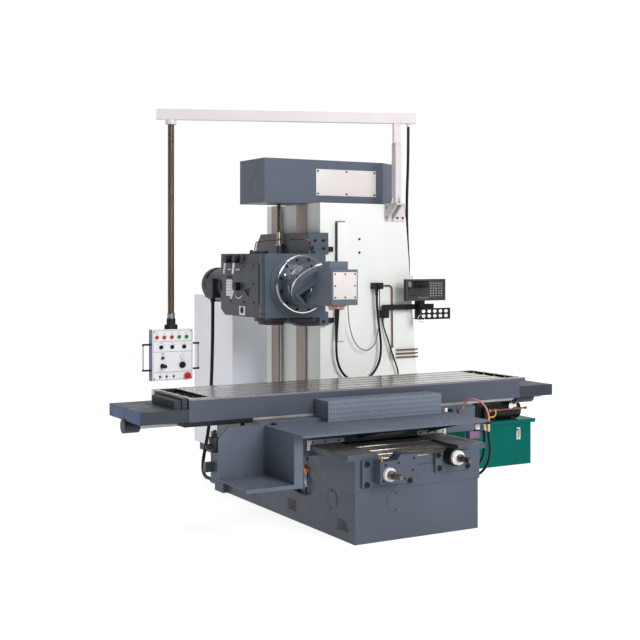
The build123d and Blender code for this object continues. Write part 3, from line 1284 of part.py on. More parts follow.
# Main motor frame with end shields, fan cowl and terminal box
with BuildPart() as main_motor:
    axis = (MOTOR_X, MOTOR_Z)
    cowl_front = MOTOR_REAR - COWL_LONG
    rod("y", MOTOR_FLANGE_R, axis, (GEARBOX_REAR, GEARBOX_REAR + MOTOR_FLANGE))
    rod("y", MOTOR_R, axis, (GEARBOX_REAR, cowl_front))
    rod("y", COWL_R, axis, (cowl_front, MOTOR_REAR))
    fillet(main_motor.edges().filter_by(GeomType.CIRCLE).sort_by(Axis.Y)[-1], COWL_ROUND)
    block(TERMINAL_X, TERMINAL_Y, TERMINAL_Z)
    gland = MOTOR_CABLE[0]
    rod("z", GLAND_R, (gland[0], gland[1]), (gland[2], TERMINAL_Z[0]))
    rod("y", STATOR_R, axis, (GEARBOX_REAR + MOTOR_FLANGE, cowl_front - SHIELD), CUT)
    cowl_in = cowl_front + COWL_WALL
    rod("y", COWL_R - COWL_WALL, axis, (cowl_in, MOTOR_REAR - COWL_ROUND - COWL_WALL), CUT)
    rod("y", COWL_R - COWL_ROUND - COWL_WALL, axis, (cowl_in, MOTOR_REAR - COWL_WALL), CUT)
    rod("y", ROTOR_SHAFT_R + RUN_GAP, axis, (GEARBOX_REAR, cowl_in), CUT)
    with BuildSketch(Plane.XZ.offset(-MOTOR_REAR)) as vents:
        with Locations(axis):
            with PolarLocations(VENT_RING, VENT_COUNT):
                Circle(VENT_R)
    extrude(vents.sketch, amount=COWL_WALL, mode=CUT)
save(main_motor, "main_motor")

# Rotor with pinion at the front and fan at the rear
with BuildPart() as motor_rotor:
    pinion_front = GEARBOX_REAR - PINION_LONG - PINION_SET
    rod("y", ROTOR_SHAFT_R, axis, (pinion_front, MOTOR_REAR - SHAFT_TAIL))
    core = (GEARBOX_REAR + MOTOR_FLANGE + SHIELD, cowl_front - 2 * SHIELD)
    rod("y", STATOR_R - ROTOR_AIR, axis, core)
    rod("y", PINION_R, axis, (pinion_front, pinion_front + PINION_LONG))
    fan = (cowl_front + SHIELD, cowl_front + SHIELD + FAN_LONG)
    rod("y", FAN_R, axis, fan)
save(motor_rotor, "motor_rotor")

# Swivel: ring on the gearbox face, and a slanted ring for the carrier
with BuildPart() as swivel:
    ring_back = SEAT_FACE - SEAT_GAP
    ring_front = ring_back - SWIVEL_RING
    rod("y", SWIVEL_RING_R, (SWIVEL_X, SWIVEL_Z), (ring_front, ring_back))
    spigot = (ring_back, GEARBOX_FRONT + SPIGOT_LONG)
    rod("y", SPIGOT_R - RUN_GAP, (SWIVEL_X, SWIVEL_Z), spigot)
    slant_back = TILT_AT - TILT_DIR * (TILT_RING + SEAT_GAP)
    neck_at = (SWIVEL_X, ring_front + SWIVEL_RING / 2, SWIVEL_Z)
    with BuildSketch(Plane(origin=neck_at, x_dir=(0, 0, 1), z_dir=(0, -1, 0))) as neck:
        Circle(SWIVEL_NECK_R)
    slant_at = slant_back + TILT_DIR * TILT_RING / 2
    with BuildSketch(Plane(origin=slant_at, x_dir=TILT_UP, z_dir=TILT_DIR)) as slant:
        Circle(TILT_R - TILT_STEP)
    loft(sections=[neck.sketch, slant.sketch])
    bar(slant_back, TILT_DIR, TILT_R, TILT_RING)
save(swivel, "swivel")

# Spindle carrier: slanted ring and the box that holds the spindle
with BuildPart() as carrier:
    slant_front = TILT_AT + TILT_DIR * SEAT_GAP
    carrier_x = around(SWIVEL_X, CARRIER_HALF)
    block(carrier_x, (CARRIER_FRONT, CARRIER_BACK), (CARRIER_LOW, CARRIER_TOP))
    block(LEDGE_X, LEDGE_Y, (CARRIER_TOP, CARRIER_TOP + LEDGE_HIGH))
    bar(slant_front, TILT_DIR, TILT_R, TILT_RING)
    split(bisect_by=Plane(origin=slant_front, z_dir=TILT_DIR), keep=Keep.TOP)
    bore = (CARRIER_LOW, QUILL_TOP + END_PLAY)
    rod("z", QUILL_R + RUN_GAP, (SWIVEL_X, SPINDLE_Y), bore, CUT)
save(carrier, "carrier")

# Spindle with taper, drive keys and tapped nose holes
with BuildPart() as spindle:
    spindle_at = (SWIVEL_X, SPINDLE_Y)
    nose_low = CARRIER_LOW - NOSE_DROP
    rod("z", QUILL_R, spindle_at, (CARRIER_LOW, QUILL_TOP))
    rod("z", NOSE_R, spindle_at, (nose_low, CARRIER_LOW))
    with BuildSketch(Plane(origin=(SWIVEL_X, SPINDLE_Y, 0), x_dir=(1, 0, 0), z_dir=(0, -1, 0))) as taper:
        with BuildLine():
            taper_end = TAPER_R - TAPER_DEEP / TAPER_SLOPE / 2
            Polyline(
                (0, nose_low),
                (TAPER_R, nose_low),
                (taper_end, nose_low + TAPER_DEEP),
                (0, nose_low + TAPER_DEEP),
                close=True,
            )
        make_face()
    revolve(taper.sketch, axis=Axis((SWIVEL_X, SPINDLE_Y, 0), (0, 0, 1)), mode=CUT)
    rod("z", DRAWBAR_R, spindle_at, (nose_low, QUILL_TOP), CUT)
    with BuildSketch(Plane.XY.offset(nose_low)) as nose_holes:
        with Locations(spindle_at):
            with PolarLocations(NOSE_BOLT_RING, NOSE_BOLTS, start_angle=NOSE_BOLT_START):
                Circle(NOSE_BOLT_R)
    extrude(nose_holes.sketch, amount=NOSE_BOLT_DEEP, mode=CUT)
    for side in (-1, 1):
        key_x = sorted((SWIVEL_X + side * KEY_IN, SWIVEL_X + side * (NOSE_R - KEY_EDGE)))
        block(key_x, around(SPINDLE_Y, KEY_WIDE / 2), (nose_low - KEY_HIGH, nose_low))
save(spindle, "spindle")

# Pole with its bracket on the column front
with BuildPart() as pole:
    wall = (COLUMN_FRONT - SHELF_THICK, COLUMN_FRONT)
    block(SHELF_X, wall, (SHELF_TOP - BRACKET_HIGH, SHELF_TOP))
    shelf = (
        (SHELF_X[0], COLUMN_FRONT),
        (SHELF_X[1], COLUMN_FRONT),
        (SHELF_TIP_X[1], SHELF_FRONT),
        (SHELF_TIP_X[0], SHELF_FRONT),
    )
    slab_z(shelf, (SHELF_TOP - SHELF_THICK, SHELF_TOP))
    web = (
        (COLUMN_FRONT - SHELF_THICK, SHELF_TOP - BRACKET_HIGH),
        (COLUMN_FRONT - SHELF_THICK, SHELF_TOP - SHELF_THICK),
        (SHELF_FRONT + SHELF_THICK, SHELF_TOP - SHELF_THICK),
    )
    for x in (SHELF_TIP_X[0] + SHELF_THICK, SHELF_TIP_X[1] - SHELF_THICK):
        slab_x(web, around(x, SHELF_THICK / 2))
    side = POLE_SIDE / 2
    block(around(POLE_X, side), around(POLE_Y, side), (SHELF_TOP, POLE_TOP - SEAT_GAP))
    bore = (POLE_TOP - SEAT_GAP - PIVOT_LONG - END_PLAY, POLE_TOP - SEAT_GAP)
    rod("z", PIVOT_R + RUN_GAP, (POLE_X, POLE_Y), bore, CUT)
save(pole, "pole")

# Boom: turning post, hollow beam, tail gland and conduit socket
with BuildPart() as boom:
    with BuildSketch(Plane(origin=(POLE_X, POLE_Y, POLE_TOP), x_dir=BOOM_DIR, z_dir=(0, 0, 1))) as post:
        Rectangle(POLE_SIDE, POLE_SIDE)
    extrude(post.sketch, amount=BOOM_LOW - POLE_TOP)
    middle = BOOM_LOW + BOOM_HIGH / 2
    tail = Vector(POLE_X, POLE_Y, middle) - BOOM_DIR * BOOM_TAIL
    beam_plane = Plane(origin=tail, x_dir=(0, 0, 1), z_dir=BOOM_DIR)
    beam_long = BOOM_TAIL + BOOM_LONG + BOOM_PAST
    with BuildSketch(beam_plane) as beam:
        Rectangle(BOOM_HIGH, BOOM_WIDE)
    extrude(beam.sketch, amount=beam_long)
    with BuildSketch(beam_plane.offset(BOOM_WALL)) as beam_hollow:
        Rectangle(BOOM_HIGH - 2 * BOOM_WALL, BOOM_WIDE - 2 * BOOM_WALL)
    extrude(beam_hollow.sketch, amount=beam_long - 2 * BOOM_WALL, mode=CUT)
    rod("z", PIVOT_R, (POLE_X, POLE_Y), (POLE_TOP - PIVOT_LONG, POLE_TOP))
    gland_at = Vector(POLE_X, POLE_Y, 0) - BOOM_DIR * TAIL_GLAND_OUT
    rod("z", TAIL_GLAND_R, (gland_at.X, gland_at.Y), (BOOM_CABLE[0][2], BOOM_LOW))
    rod("z", SOCKET_R, (BOOM_TIP.X, BOOM_TIP.Y), (CONDUIT_TOP, BOOM_LOW))
save(boom, "boom")

# Ribbed conduit from boom to pendant
with BuildPart() as conduit:
    conduit_end = 2 * CONDUIT_R
    ribbed = CONDUIT_TOP - CONDUIT_LOW - 2 * conduit_end
    pitch = ribbed / CONDUIT_RIBS
    rings = []
    for k in range(CONDUIT_RIBS):
        for part, depth in CONDUIT_RIB_SHAPE:
            at = CONDUIT_LOW + conduit_end + (k + part) * pitch
            rings.append((at, CONDUIT_R - depth))
    rings.append((CONDUIT_TOP - conduit_end, CONDUIT_R - CONDUIT_GROOVE))
    sections = []
    for at, radius in rings:
        level = (BOOM_TIP.X, BOOM_TIP.Y, at)
        with BuildSketch(Plane(origin=level, x_dir=(1, 0, 0), z_dir=(0, 0, 1))) as ring:
            Circle(radius)
        sections.append(ring.sketch)
    loft(sections=sections, ruled=True)
    tip = (BOOM_TIP.X, BOOM_TIP.Y)
    rod("z", CONDUIT_R - CONDUIT_GROOVE, tip, (CONDUIT_LOW, CONDUIT_LOW + conduit_end))
    rod("z", CONDUIT_R - CONDUIT_GROOVE, tip, (CONDUIT_TOP - conduit_end, CONDUIT_TOP))
    rod("z", CONDUIT_BORE, tip, (CONDUIT_LOW, CONDUIT_TOP), CUT)
save(conduit, "conduit")


def on_panel(place):
    """A place on the pendant panel as X and Z."""
    return (BOOM_TIP.X + place[0], PENDANT_MID + place[1])


def panel_hole(place, radius):
    """A round hole through the pendant panel."""
    rod("y", radius, on_panel(place), (PENDANT_FACE, PENDANT_INNER), CUT)


def panel_bezel(place, inner):
    """A raised ring round a button hole."""
    rod("y", inner + BEZEL, on_panel(place), (PENDANT_FACE - BEZEL_HIGH, PENDANT_FACE))
    rod("y", inner, on_panel(place), (PENDANT_FACE - BEZEL_HIGH, PENDANT_INNER), CUT)


def lever_seat(place, pivot, hole, pin, lug_in, lug):
    """A hole in the panel with two lugs behind it that carry a cross pin."""
    x, z = on_panel(place)
    for side in (-1, 1):
        span = sorted((x + side * lug_in, x + side * (lug_in + lug)))
        block(span, (PENDANT_INNER, PENDANT_FACE + pivot + 2 * pin), around(z, 2 * pin))
    rod("x", pin + RUN_GAP, (PENDANT_FACE + pivot, z), around(x, lug_in + lug), CUT)
    panel_hole(place, hole)


# Pendant box with handles, gland and the seats of its controls
with BuildPart() as pendant_box:
    half = PENDANT_WIDE / 2
    outer_y = (PENDANT_FACE, PENDANT_FACE + PENDANT_DEEP)
    block(around(BOOM_TIP.X, half), outer_y, (PENDANT_LOW, PENDANT_TOP))
    inner_y = (PENDANT_INNER, PENDANT_FACE + PENDANT_DEEP - PENDANT_WALL)
    inner_z = (PENDANT_LOW + PENDANT_WALL, PENDANT_TOP - PENDANT_WALL)
    block(around(BOOM_TIP.X, half - PENDANT_WALL), inner_y, inner_z, CUT)
    with BuildSketch(Plane.XY.offset(PENDANT_TOP)) as gland:
        with Locations((BOOM_TIP.X, BOOM_TIP.Y)):
            SlotOverall(GLAND_BASE_WIDE, PENDANT_DEEP)
    extrude(gland.sketch, amount=GLAND_BASE_HIGH)
    rod("z", GLAND_NECK_R, (BOOM_TIP.X, BOOM_TIP.Y), (PENDANT_TOP, CONDUIT_LOW - SEAT_GAP))
    rod("z", CONDUIT_BORE, (BOOM_TIP.X, BOOM_TIP.Y), (inner_z[1], CONDUIT_LOW), CUT)
    handle_z = (PENDANT_MID + HANDLE_LOW, PENDANT_MID + HANDLE_TOP)
    for side in (-1, 1):
        grip = BOOM_TIP.X + side * (half + HANDLE_OUT)
        wall = BOOM_TIP.X + side * half
        rod("z", HANDLE_R, (grip, BOOM_TIP.Y), handle_z)
        for z in handle_z:
            bracket = sorted((wall, grip + side * BRACKET_R))
            rod("x", BRACKET_R, (BOOM_TIP.Y, z), bracket)
    for x in BUTTON_XS:
        panel_bezel((x, LAMP_ROW), BUTTON_R + BUTTON_GAP)
    panel_bezel(WHITE_AT, WHITE_R + BUTTON_GAP)
    panel_bezel(ESTOP_AT, ESTOP_STEM_R + BUTTON_GAP)
    for x in SELECTOR_XS:
        panel_hole((x, SELECTOR_ROW), DIAL_SHAFT_R + RUN_GAP)
    for place in (FINE_DIAL_AT, KNOB_AT):
        panel_hole(place, DIAL_SHAFT_R + RUN_GAP)
    lever_seat(STICK_AT, STICK_PIVOT, STICK_HOLE_R, STICK_PIN_R, STICK_LUG_IN, STICK_LUG)
    for x in TOGGLE_XS:
        seat = (x, TOGGLE_ROW)
        lever_seat(seat, TOGGLE_PIVOT, TOGGLE_HOLE_R, TOGGLE_PIN_R, TOGGLE_LUG_IN, TOGGLE_LUG)
save(pendant_box, "pendant_box")


def push_button(name, place, radius):
    """A push button in its bezel."""
    with BuildPart() as button:
        rod("y", radius, on_panel(place), (PENDANT_FACE - BUTTON_OUT, PENDANT_FACE + BUTTON_IN))
    save(button, name)


def turn_knob(name, place, radius, high, ridge):
    """A turning knob with its shaft through the panel and a grip ridge."""
    with BuildPart() as knob:
        face = PENDANT_FACE - SEAT_GAP
        x, z = on_panel(place)
        rod("y", radius, (x, z), (face - high / 2, face))
        rod("y", radius * KNOB_WAIST, (x, z), (face - high, face))
        rod("y", DIAL_SHAFT_R, (x, z), (face, PENDANT_FACE + DIAL_SHAFT_IN))
        block(around(x, ridge), (face - high - ridge, face), around(z, radius * RIDGE_SHARE))
    save(knob, name)


def rocking_lever(name, place, pivot, radius, length, ball, pin, lug_in, lug):
    """A lever with a ball end, rocking on a cross pin behind the panel."""
    with BuildPart() as lever:
        x, z = on_panel(place)
        pivot_y = PENDANT_FACE + pivot
        tip_y = PENDANT_FACE - length
        rod("y", radius, (x, z), (tip_y, pivot_y + PIN_COVER * pin))
        with Locations((x, tip_y, z)):
            Sphere(ball)
        rod("x", pin, (pivot_y, z), around(x, lug_in + lug))
        rod("x", radius, (pivot_y, z), around(x, lug_in - RUN_GAP))
    save(lever, name)


for name, x in zip(BUTTON_NAMES, BUTTON_XS):
    push_button(name, (x, LAMP_ROW), BUTTON_R)
push_button("white_button", WHITE_AT, WHITE_R)
for k, x in enumerate(SELECTOR_XS):
    turn_knob(f"selector_{k + 1}", (x, SELECTOR_ROW), SELECTOR_R, SELECTOR_HIGH, SELECTOR_RIDGE)
turn_knob("fine_dial", FINE_DIAL_AT, FINE_DIAL_R, FINE_DIAL_HIGH, FINE_DIAL_RIDGE)
turn_knob("feed_knob", KNOB_AT, KNOB_R, KNOB_HIGH, KNOB_RIDGE)
rocking_lever(
    "joystick", STICK_AT, STICK_PIVOT, STICK_R, STICK_LONG, STICK_BALL_R, STICK_PIN_R, STICK_LUG_IN, STICK_LUG
)
for k, x in enumerate(TOGGLE_XS):
    rocking_lever(
        f"toggle_{k + 1}",
        (x, TOGGLE_ROW),
        TOGGLE_PIVOT,
        TOGGLE_R,
        TOGGLE_LONG,
        TOGGLE_BALL_R,
        TOGGLE_PIN_R,
        TOGGLE_LUG_IN,
        TOGGLE_LUG,
    )

# Emergency stop with its mushroom head
with BuildPart() as emergency_stop:
    stop_at = on_panel(ESTOP_AT)
    head = PENDANT_FACE - BEZEL_HIGH - ESTOP_ROOM
    rod("y", ESTOP_STEM_R, stop_at, (head, PENDANT_FACE + DIAL_SHAFT_IN))
    rod("y", ESTOP_R, stop_at, (head - ESTOP_HIGH, head))
save(emergency_stop, "emergency_stop")

# Readout arm with its tilting knuckle and the perforated tray
with BuildPart() as readout_arm:
    arm_low = READOUT_Z + SEAT_GAP
    arm_z = (arm_low, arm_low + READOUT_ARM_HIGH)
    arm_y = around(READOUT_Y, READOUT_ARM_HALF)
    block((READOUT_X - READOUT_ARM_HALF, READOUT_ARM_END), arm_y, arm_z)
    pin = (READOUT_Z - READOUT_BRACKET_HIGH + END_PLAY, arm_low)
    rod("z", READOUT_PIN_R, (READOUT_X, READOUT_Y), pin)
    post_y = (HINGE_Y + READOUT_ARM_HALF / 2, READOUT_Y + READOUT_ARM_HALF / 2)
    block(KNUCKLE_X, post_y, (arm_low, HINGE_Z))
    rod("x", KNUCKLE_R, (HINGE_Y, HINGE_Z), KNUCKLE_X)
    ear_span = (KNUCKLE_X[0] - EAR_GAP - EAR, KNUCKLE_X[1] + EAR_GAP + EAR)
    rod("x", HINGE_PIN_R, (HINGE_Y, HINGE_Z), ear_span)
    block(TRAY_X, (TRAY_FRONT, TRAY_FRONT + TRAY_PLATE), TRAY_Z)
    block(TRAY_X, (TRAY_FRONT, TRAY_BACK), (TRAY_Z[0], TRAY_Z[0] + TRAY_PLATE))
    hanger = (TRAY_BACK - 2 * TRAY_PLATE, READOUT_Y + READOUT_ARM_HALF / 2)
    block(KNUCKLE_X, hanger, (TRAY_Z[0], arm_z[1]))
    tray_mid = (TRAY_X[0] + TRAY_X[1]) / 2
    with BuildSketch(Plane.XZ.offset(-TRAY_FRONT - TRAY_PLATE)) as slots:
        for up in TRAY_HOLE_ROWS:
            with Locations((tray_mid, TRAY_Z[0] + up)):
                with GridLocations(TRAY_HOLE_STEP, TRAY_PLATE, TRAY_HOLES, 1):
                    SlotOverall(TRAY_SLOT_LONG, TRAY_SLOT_HIGH)
    extrude(slots.sketch, amount=TRAY_PLATE, mode=CUT)
save(readout_arm, "readout_arm")

# Readout display with two ears on the hinge pin
with BuildPart() as readout_display:
    back = DISPLAY_FRONT + DISPLAY_DEEP
    block(DISPLAY_X, (DISPLAY_FRONT, back), (DISPLAY_LOW, DISPLAY_LOW + DISPLAY_HIGH))
    ears = (
        (KNUCKLE_X[0] - EAR_GAP - EAR, KNUCKLE_X[0] - EAR_GAP),
        (KNUCKLE_X[1] + EAR_GAP, KNUCKLE_X[1] + EAR_GAP + EAR),
    )
    for ear in ears:
        block(ear, (back, HINGE_Y), around(HINGE_Z, KNUCKLE_R))
        rod("x", KNUCKLE_R, (HINGE_Y, HINGE_Z), ear)
        rod("x", HINGE_PIN_R + RUN_GAP, (HINGE_Y, HINGE_Z), ear, CUT)
save(readout_display, "readout_display")

# Electrical cabinet on a plinth, open at the rear, with a cable duct to the column
with BuildPart() as cabinet:
    block((CABINET_LEFT, CABINET_RIGHT), (CABINET_FRONT, CABINET_REAR), (PLINTH_HIGH, CABINET_TOP))
    wall = CABINET_WALL
    inside = (CABINET_LEFT + wall, CABINET_RIGHT - wall)
    block(inside, (CABINET_FRONT + wall, CABINET_REAR), (PLINTH_HIGH + wall, CABINET_TOP - wall), CUT)
    plinth_x = (CABINET_LEFT + PLINTH_IN, CABINET_RIGHT - PLINTH_IN)
    block(plinth_x, (CABINET_FRONT + PLINTH_IN, CABINET_REAR - PLINTH_IN), (0, PLINTH_HIGH))
    block(DUCT_X, (COLUMN_REAR, CABINET_FRONT), DUCT_Z)
    door_axis = (CABINET_RIGHT + HINGE_BARREL_R, CABINET_REAR + DOOR_THICK)
    for z in HINGE_ZS:
        lug_y = (CABINET_REAR - HINGE_LUG, door_axis[1])
        block((CABINET_RIGHT, CABINET_RIGHT + HINGE_BARREL_R), lug_y, (z, z + HINGE_BARREL))
        rod("z", HINGE_BARREL_R, door_axis, (z, z + HINGE_BARREL))
save(cabinet, "cabinet")

# Cabinet door at the rear, with barrels above the cabinet's and a latch bar
with BuildPart() as cabinet_door:
    door_x = (CABINET_LEFT + DOOR_EDGE, CABINET_RIGHT - DOOR_HINGE_GAP)
    door_y = (CABINET_REAR + SEAT_GAP, CABINET_REAR + DOOR_THICK)
    block(door_x, door_y, (PLINTH_HIGH + DOOR_EDGE, CABINET_TOP - DOOR_EDGE))
    for z in HINGE_ZS:
        notch = (z - SEAT_GAP, z + HINGE_BARREL + SEAT_GAP)
        block((door_x[1] - HINGE_BARREL_R - HINGE_NOTCH, door_x[1]), door_y, notch, CUT)
        barrel = (z + HINGE_BARREL + SEAT_GAP, z + 2 * HINGE_BARREL)
        rod("z", HINGE_BARREL_R, door_axis, barrel)
        block((door_x[1] - DOOR_EDGE, door_axis[0]), (door_y[1] - DOOR_EDGE / 2, door_y[1]), barrel)
    latch_z = (PLINTH_HIGH + CABINET_TOP) / 2
    latch_y = (door_y[1], door_y[1] + 2 * LATCH_R)
    latch_x = (door_x[0] + LATCH_IN, door_x[0] + LATCH_IN + LATCH_R)
    block(latch_x, latch_y, around(latch_z, LATCH_LONG / 2))
save(cabinet_door, "cabinet_door")

# Oil tank with a baffle
with BuildPart() as oil_tank:
    block((TANK_LEFT, TANK_RIGHT), (TANK_FRONT, TANK_REAR), (0, TANK_HIGH))
    tank_mid = (TANK_LEFT + TANK_RIGHT) / 2
    wall = TANK_WALL
    inside_y = (TANK_FRONT + wall, TANK_REAR - wall)
    for bay in ((TANK_LEFT + wall, tank_mid - wall / 2), (tank_mid + wall / 2, TANK_RIGHT - wall)):
        block(bay, inside_y, (wall, TANK_HIGH), CUT)
save(oil_tank, "oil_tank")

# Lid with the pump and its motor
with BuildPart() as pump_unit:
    lid_x = (TANK_LEFT - LID_OVER, TANK_RIGHT + LID_OVER_RIGHT)
    lid_y = (TANK_FRONT - LID_OVER, TANK_REAR + LID_OVER)
    block(lid_x, lid_y, (TANK_HIGH, LID_TOP))
    rod("x", PUMP_MOTOR_R, (PUMP_Y, PUMP_Z), (PUMP_X[1], PUMP_MOTOR_RIGHT))
    block(PUMP_X, (PUMP_Y - PUMP_HALF, PUMP_BLOCK_REAR), around(PUMP_Z, PUMP_HALF))
    block(OUTLET_X, (OUTLET_FRONT, PUMP_Y - PUMP_HALF), OUTLET_Z)
    for x in PUMP_FOOT_XS:
        foot_z = (LID_TOP, PUMP_Z - PUMP_FOOT_SINK)
        block(around(x, PUMP_FOOT_HALF), around(PUMP_Y, PUMP_HALF), foot_z)
    box_z = (PUMP_Z + PUMP_BOX_UP[0], PUMP_Z + PUMP_BOX_UP[1])
    block(PUMP_BOX_X, around(PUMP_Y, PUMP_BOX_HALF), box_z)
save(pump_unit, "pump_unit")

# Oil pipes: between pump and column, and on the column front
with BuildPart() as oil_pipes:
    for y, z in zip(PUMP_PORT_YS, PUMP_PORT_ZS):
        rod("x", PIPE_R, (y, z), (PORT_X[1], PUMP_X[0]))
    port_y = (min(PUMP_PORT_YS) - PORT_EDGE, max(PUMP_PORT_YS) + PORT_EDGE)
    port_z = (min(PUMP_PORT_ZS) - PORT_EDGE, max(PUMP_PORT_ZS) + PORT_EDGE)
    block(PORT_X, port_y, port_z)
    outlet = (OUTLET_X[1], OUTLET_PIPE_END)
    rod("x", OUTLET_PIPE_R, (OUTLET_PIPE_Y, OUTLET_PIPE_Z), outlet)
    rise = (
        (OUTLET_X[1], OUTLET_PIPE_Y, RETURN_PIPE_Z),
        (RETURN_PIPE_X, OUTLET_PIPE_Y, RETURN_PIPE_Z),
        (RETURN_PIPE_X, OUTLET_PIPE_Y, OUTLET_PIPE_Z),
    )
    with BuildLine() as bend:
        FilletPolyline(*rise, radius=PIPE_BEND)
    with BuildSketch(Plane(origin=rise[0], z_dir=(1, 0, 0))) as bore:
        Circle(THIN_PIPE_R)
    sweep(bore.sketch, path=bend.wires()[0])
    block(FITTING_X, (FITTING_FRONT, COLUMN_FRONT), FITTING_Z)
    drop = (
        (FITTING_X[1], PIPE_Y, PIPE_CORNER[1]),
        (PIPE_CORNER[0], PIPE_Y, PIPE_CORNER[1]),
        (PIPE_CORNER[0] + PIPE_LEAN, PIPE_Y, MANIFOLD_Z[1]),
    )
    with BuildLine() as bend:
        FilletPolyline(*drop, radius=PIPE_BEND)
    with BuildSketch(Plane(origin=drop[0], z_dir=(1, 0, 0))) as bore:
        Circle(THIN_PIPE_R)
    sweep(bore.sketch, path=bend.wires()[0])
    block(MANIFOLD_X, (PIPE_Y - 2 * THIN_PIPE_R, COLUMN_FRONT), MANIFOLD_Z)
    for z in THIN_PIPE_ZS:
        rod("x", THIN_PIPE_R, (PIPE_Y, z), (MANIFOLD_X[1], THIN_PIPE_END))
save(oil_pipes, "oil_pipes")

# Cables and hoses between the head and the column or bed
with BuildPart() as head_cables:
    cord(MOTOR_CABLE, MOTOR_CABLE_D)
    cord(HEAD_HOSE, HEAD_HOSE_D)
    cord(HEAD_WIRE, HEAD_WIRE_D)
save(head_cables, "head_cables")

# Readout cable down the column front
with BuildPart() as readout_cable:
    cord(READOUT_CABLE, READOUT_CABLE_D)
save(readout_cable, "readout_cable")

# Pendant cable from the boom tail down the column's right side
with BuildPart() as boom_cable:
    cord(BOOM_CABLE, BOOM_CABLE_D)
save(boom_cable, "boom_cable")

# Hoses at the right end of the platform
with BuildPart() as saddle_hoses:
    cord(FRONT_HOSE, BLACK_HOSE_D)
    cord(REAR_HOSE, BLACK_HOSE_D)
    cord(LUBE_HOSE, LUBE_HOSE_D)
save(saddle_hoses, "saddle_hoses")
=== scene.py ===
"""Looks of a bed-type universal milling machine: cords, materials, trim, light and camera."""
import math

import bmesh
import bpy
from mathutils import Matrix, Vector


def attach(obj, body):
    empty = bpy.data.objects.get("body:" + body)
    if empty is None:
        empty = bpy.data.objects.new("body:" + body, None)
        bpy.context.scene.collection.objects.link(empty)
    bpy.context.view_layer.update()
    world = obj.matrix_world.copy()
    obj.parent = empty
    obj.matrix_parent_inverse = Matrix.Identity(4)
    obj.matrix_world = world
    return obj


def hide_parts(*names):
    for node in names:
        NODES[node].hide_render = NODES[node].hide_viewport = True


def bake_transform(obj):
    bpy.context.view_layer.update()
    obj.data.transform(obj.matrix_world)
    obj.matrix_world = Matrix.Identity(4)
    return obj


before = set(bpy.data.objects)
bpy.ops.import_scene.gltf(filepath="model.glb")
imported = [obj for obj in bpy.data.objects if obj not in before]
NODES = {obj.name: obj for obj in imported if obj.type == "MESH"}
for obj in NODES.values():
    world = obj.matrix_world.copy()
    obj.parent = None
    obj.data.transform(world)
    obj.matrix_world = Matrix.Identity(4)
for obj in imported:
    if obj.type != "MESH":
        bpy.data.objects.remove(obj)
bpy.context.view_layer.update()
SCENE = bpy.context.scene

MM = 0.001
FAR = 4000.0
X, Y, Z = Vector((1, 0, 0)), Vector((0, 1, 0)), Vector((0, 0, 1))
LEFT, FRONT, UP = -X, -Y, Z


# ---------------------------------------------------------------- camera, floor and light

CAMERA_AT = (-3.2915, -5.404, 1.392)
CAMERA_TURN = math.radians(-29.68)
CAMERA_LENS = 65.08
CAMERA_SHIFT = -0.0969
CAMERA_REACH = 100
FLOOR_HALF = 250
# The way to the bright side of the room, and how light goes from the dark side to the bright one
ROOM_BACK = (0.495, 0.869, 0.0)
ROOM_LEVELS = (-0.4, 0.75, 0.12, 1.02)
# Each lamp's place, size and power; all of them point at the middle of the machine
LAMPS = {"key": ((0.6, -8.0, 4.2), 4.0, 640), "top": ((0.5, 0.5, 6.5), 4.0, 130)}
LAMP_AIM = Vector((0.2, 0.4, 0.9))


def show(name, data, place=(0, 0, 0)):
    """A new object in the scene."""
    made = bpy.data.objects.new(name, data)
    made.location = place
    SCENE.collection.objects.link(made)
    return made


def set_camera():
    """The photo's viewpoint: a level camera off the machine's left front corner."""
    lens = bpy.data.cameras.new("camera")
    lens.lens = CAMERA_LENS
    lens.shift_y = CAMERA_SHIFT
    lens.clip_end = CAMERA_REACH
    camera = show("camera", lens, CAMERA_AT)
    camera.rotation_euler = (math.radians(90), 0, CAMERA_TURN)
    SCENE.camera = camera


def set_floor():
    """A plain pale floor, far wider than the view."""
    mesh = bpy.data.meshes.new("floor")
    corners = [(x * FLOOR_HALF, y * FLOOR_HALF, 0) for x, y in ((-1, -1), (1, -1), (1, 1), (-1, 1))]
    mesh.from_pydata(corners, [], [(0, 1, 2, 3)])
    mesh.materials.append(MATERIALS["floor"][0])
    show("floor", mesh)


def set_light():
    """A white room, brighter behind the machine, with a broad key from the front."""
    world = bpy.data.worlds.new("room")
    SCENE.world = world
    world.use_nodes = True
    tree = world.node_tree
    sky = tree.nodes["Background"]
    sky.inputs["Color"].default_value = (1, 1, 1, 1)
    way = add_node(tree, "ShaderNodeTexCoord").outputs["Generated"]
    back = add_node(tree, "ShaderNodeVectorMath", way, ROOM_BACK, operation="DOT_PRODUCT").outputs["Value"]
    level = add_node(tree, "ShaderNodeMapRange", back, *ROOM_LEVELS).outputs["Result"]
    feed(tree, sky.inputs["Strength"], level)
    for name, (place, size, power) in LAMPS.items():
        data = bpy.data.lights.new(name, "AREA")
        data.size = size
        data.energy = power
        lamp = show(name, data, place)
        lamp.rotation_euler = (LAMP_AIM - Vector(place)).to_track_quat("-Z", "Y").to_euler()
    SCENE.view_settings.view_transform = "Standard"


# ---------------------------------------------------------------- materials

def kind(**usual):
    """A maker of looks: a display colour of 0 to 255 with the usual values of one kind of finish."""
    def look(*colour, **other):
        parts = [value / 255 for value in colour]
        tone = [((p + 0.055) / 1.055) ** 2.4 if p > 0.04045 else p / 12.92 for p in parts]
        return {"tone": tone, "stretch": (1, 1, 1), "clear": 0.0, "coat": 0.0, "glow": 0.0, **usual, **other}
    return look


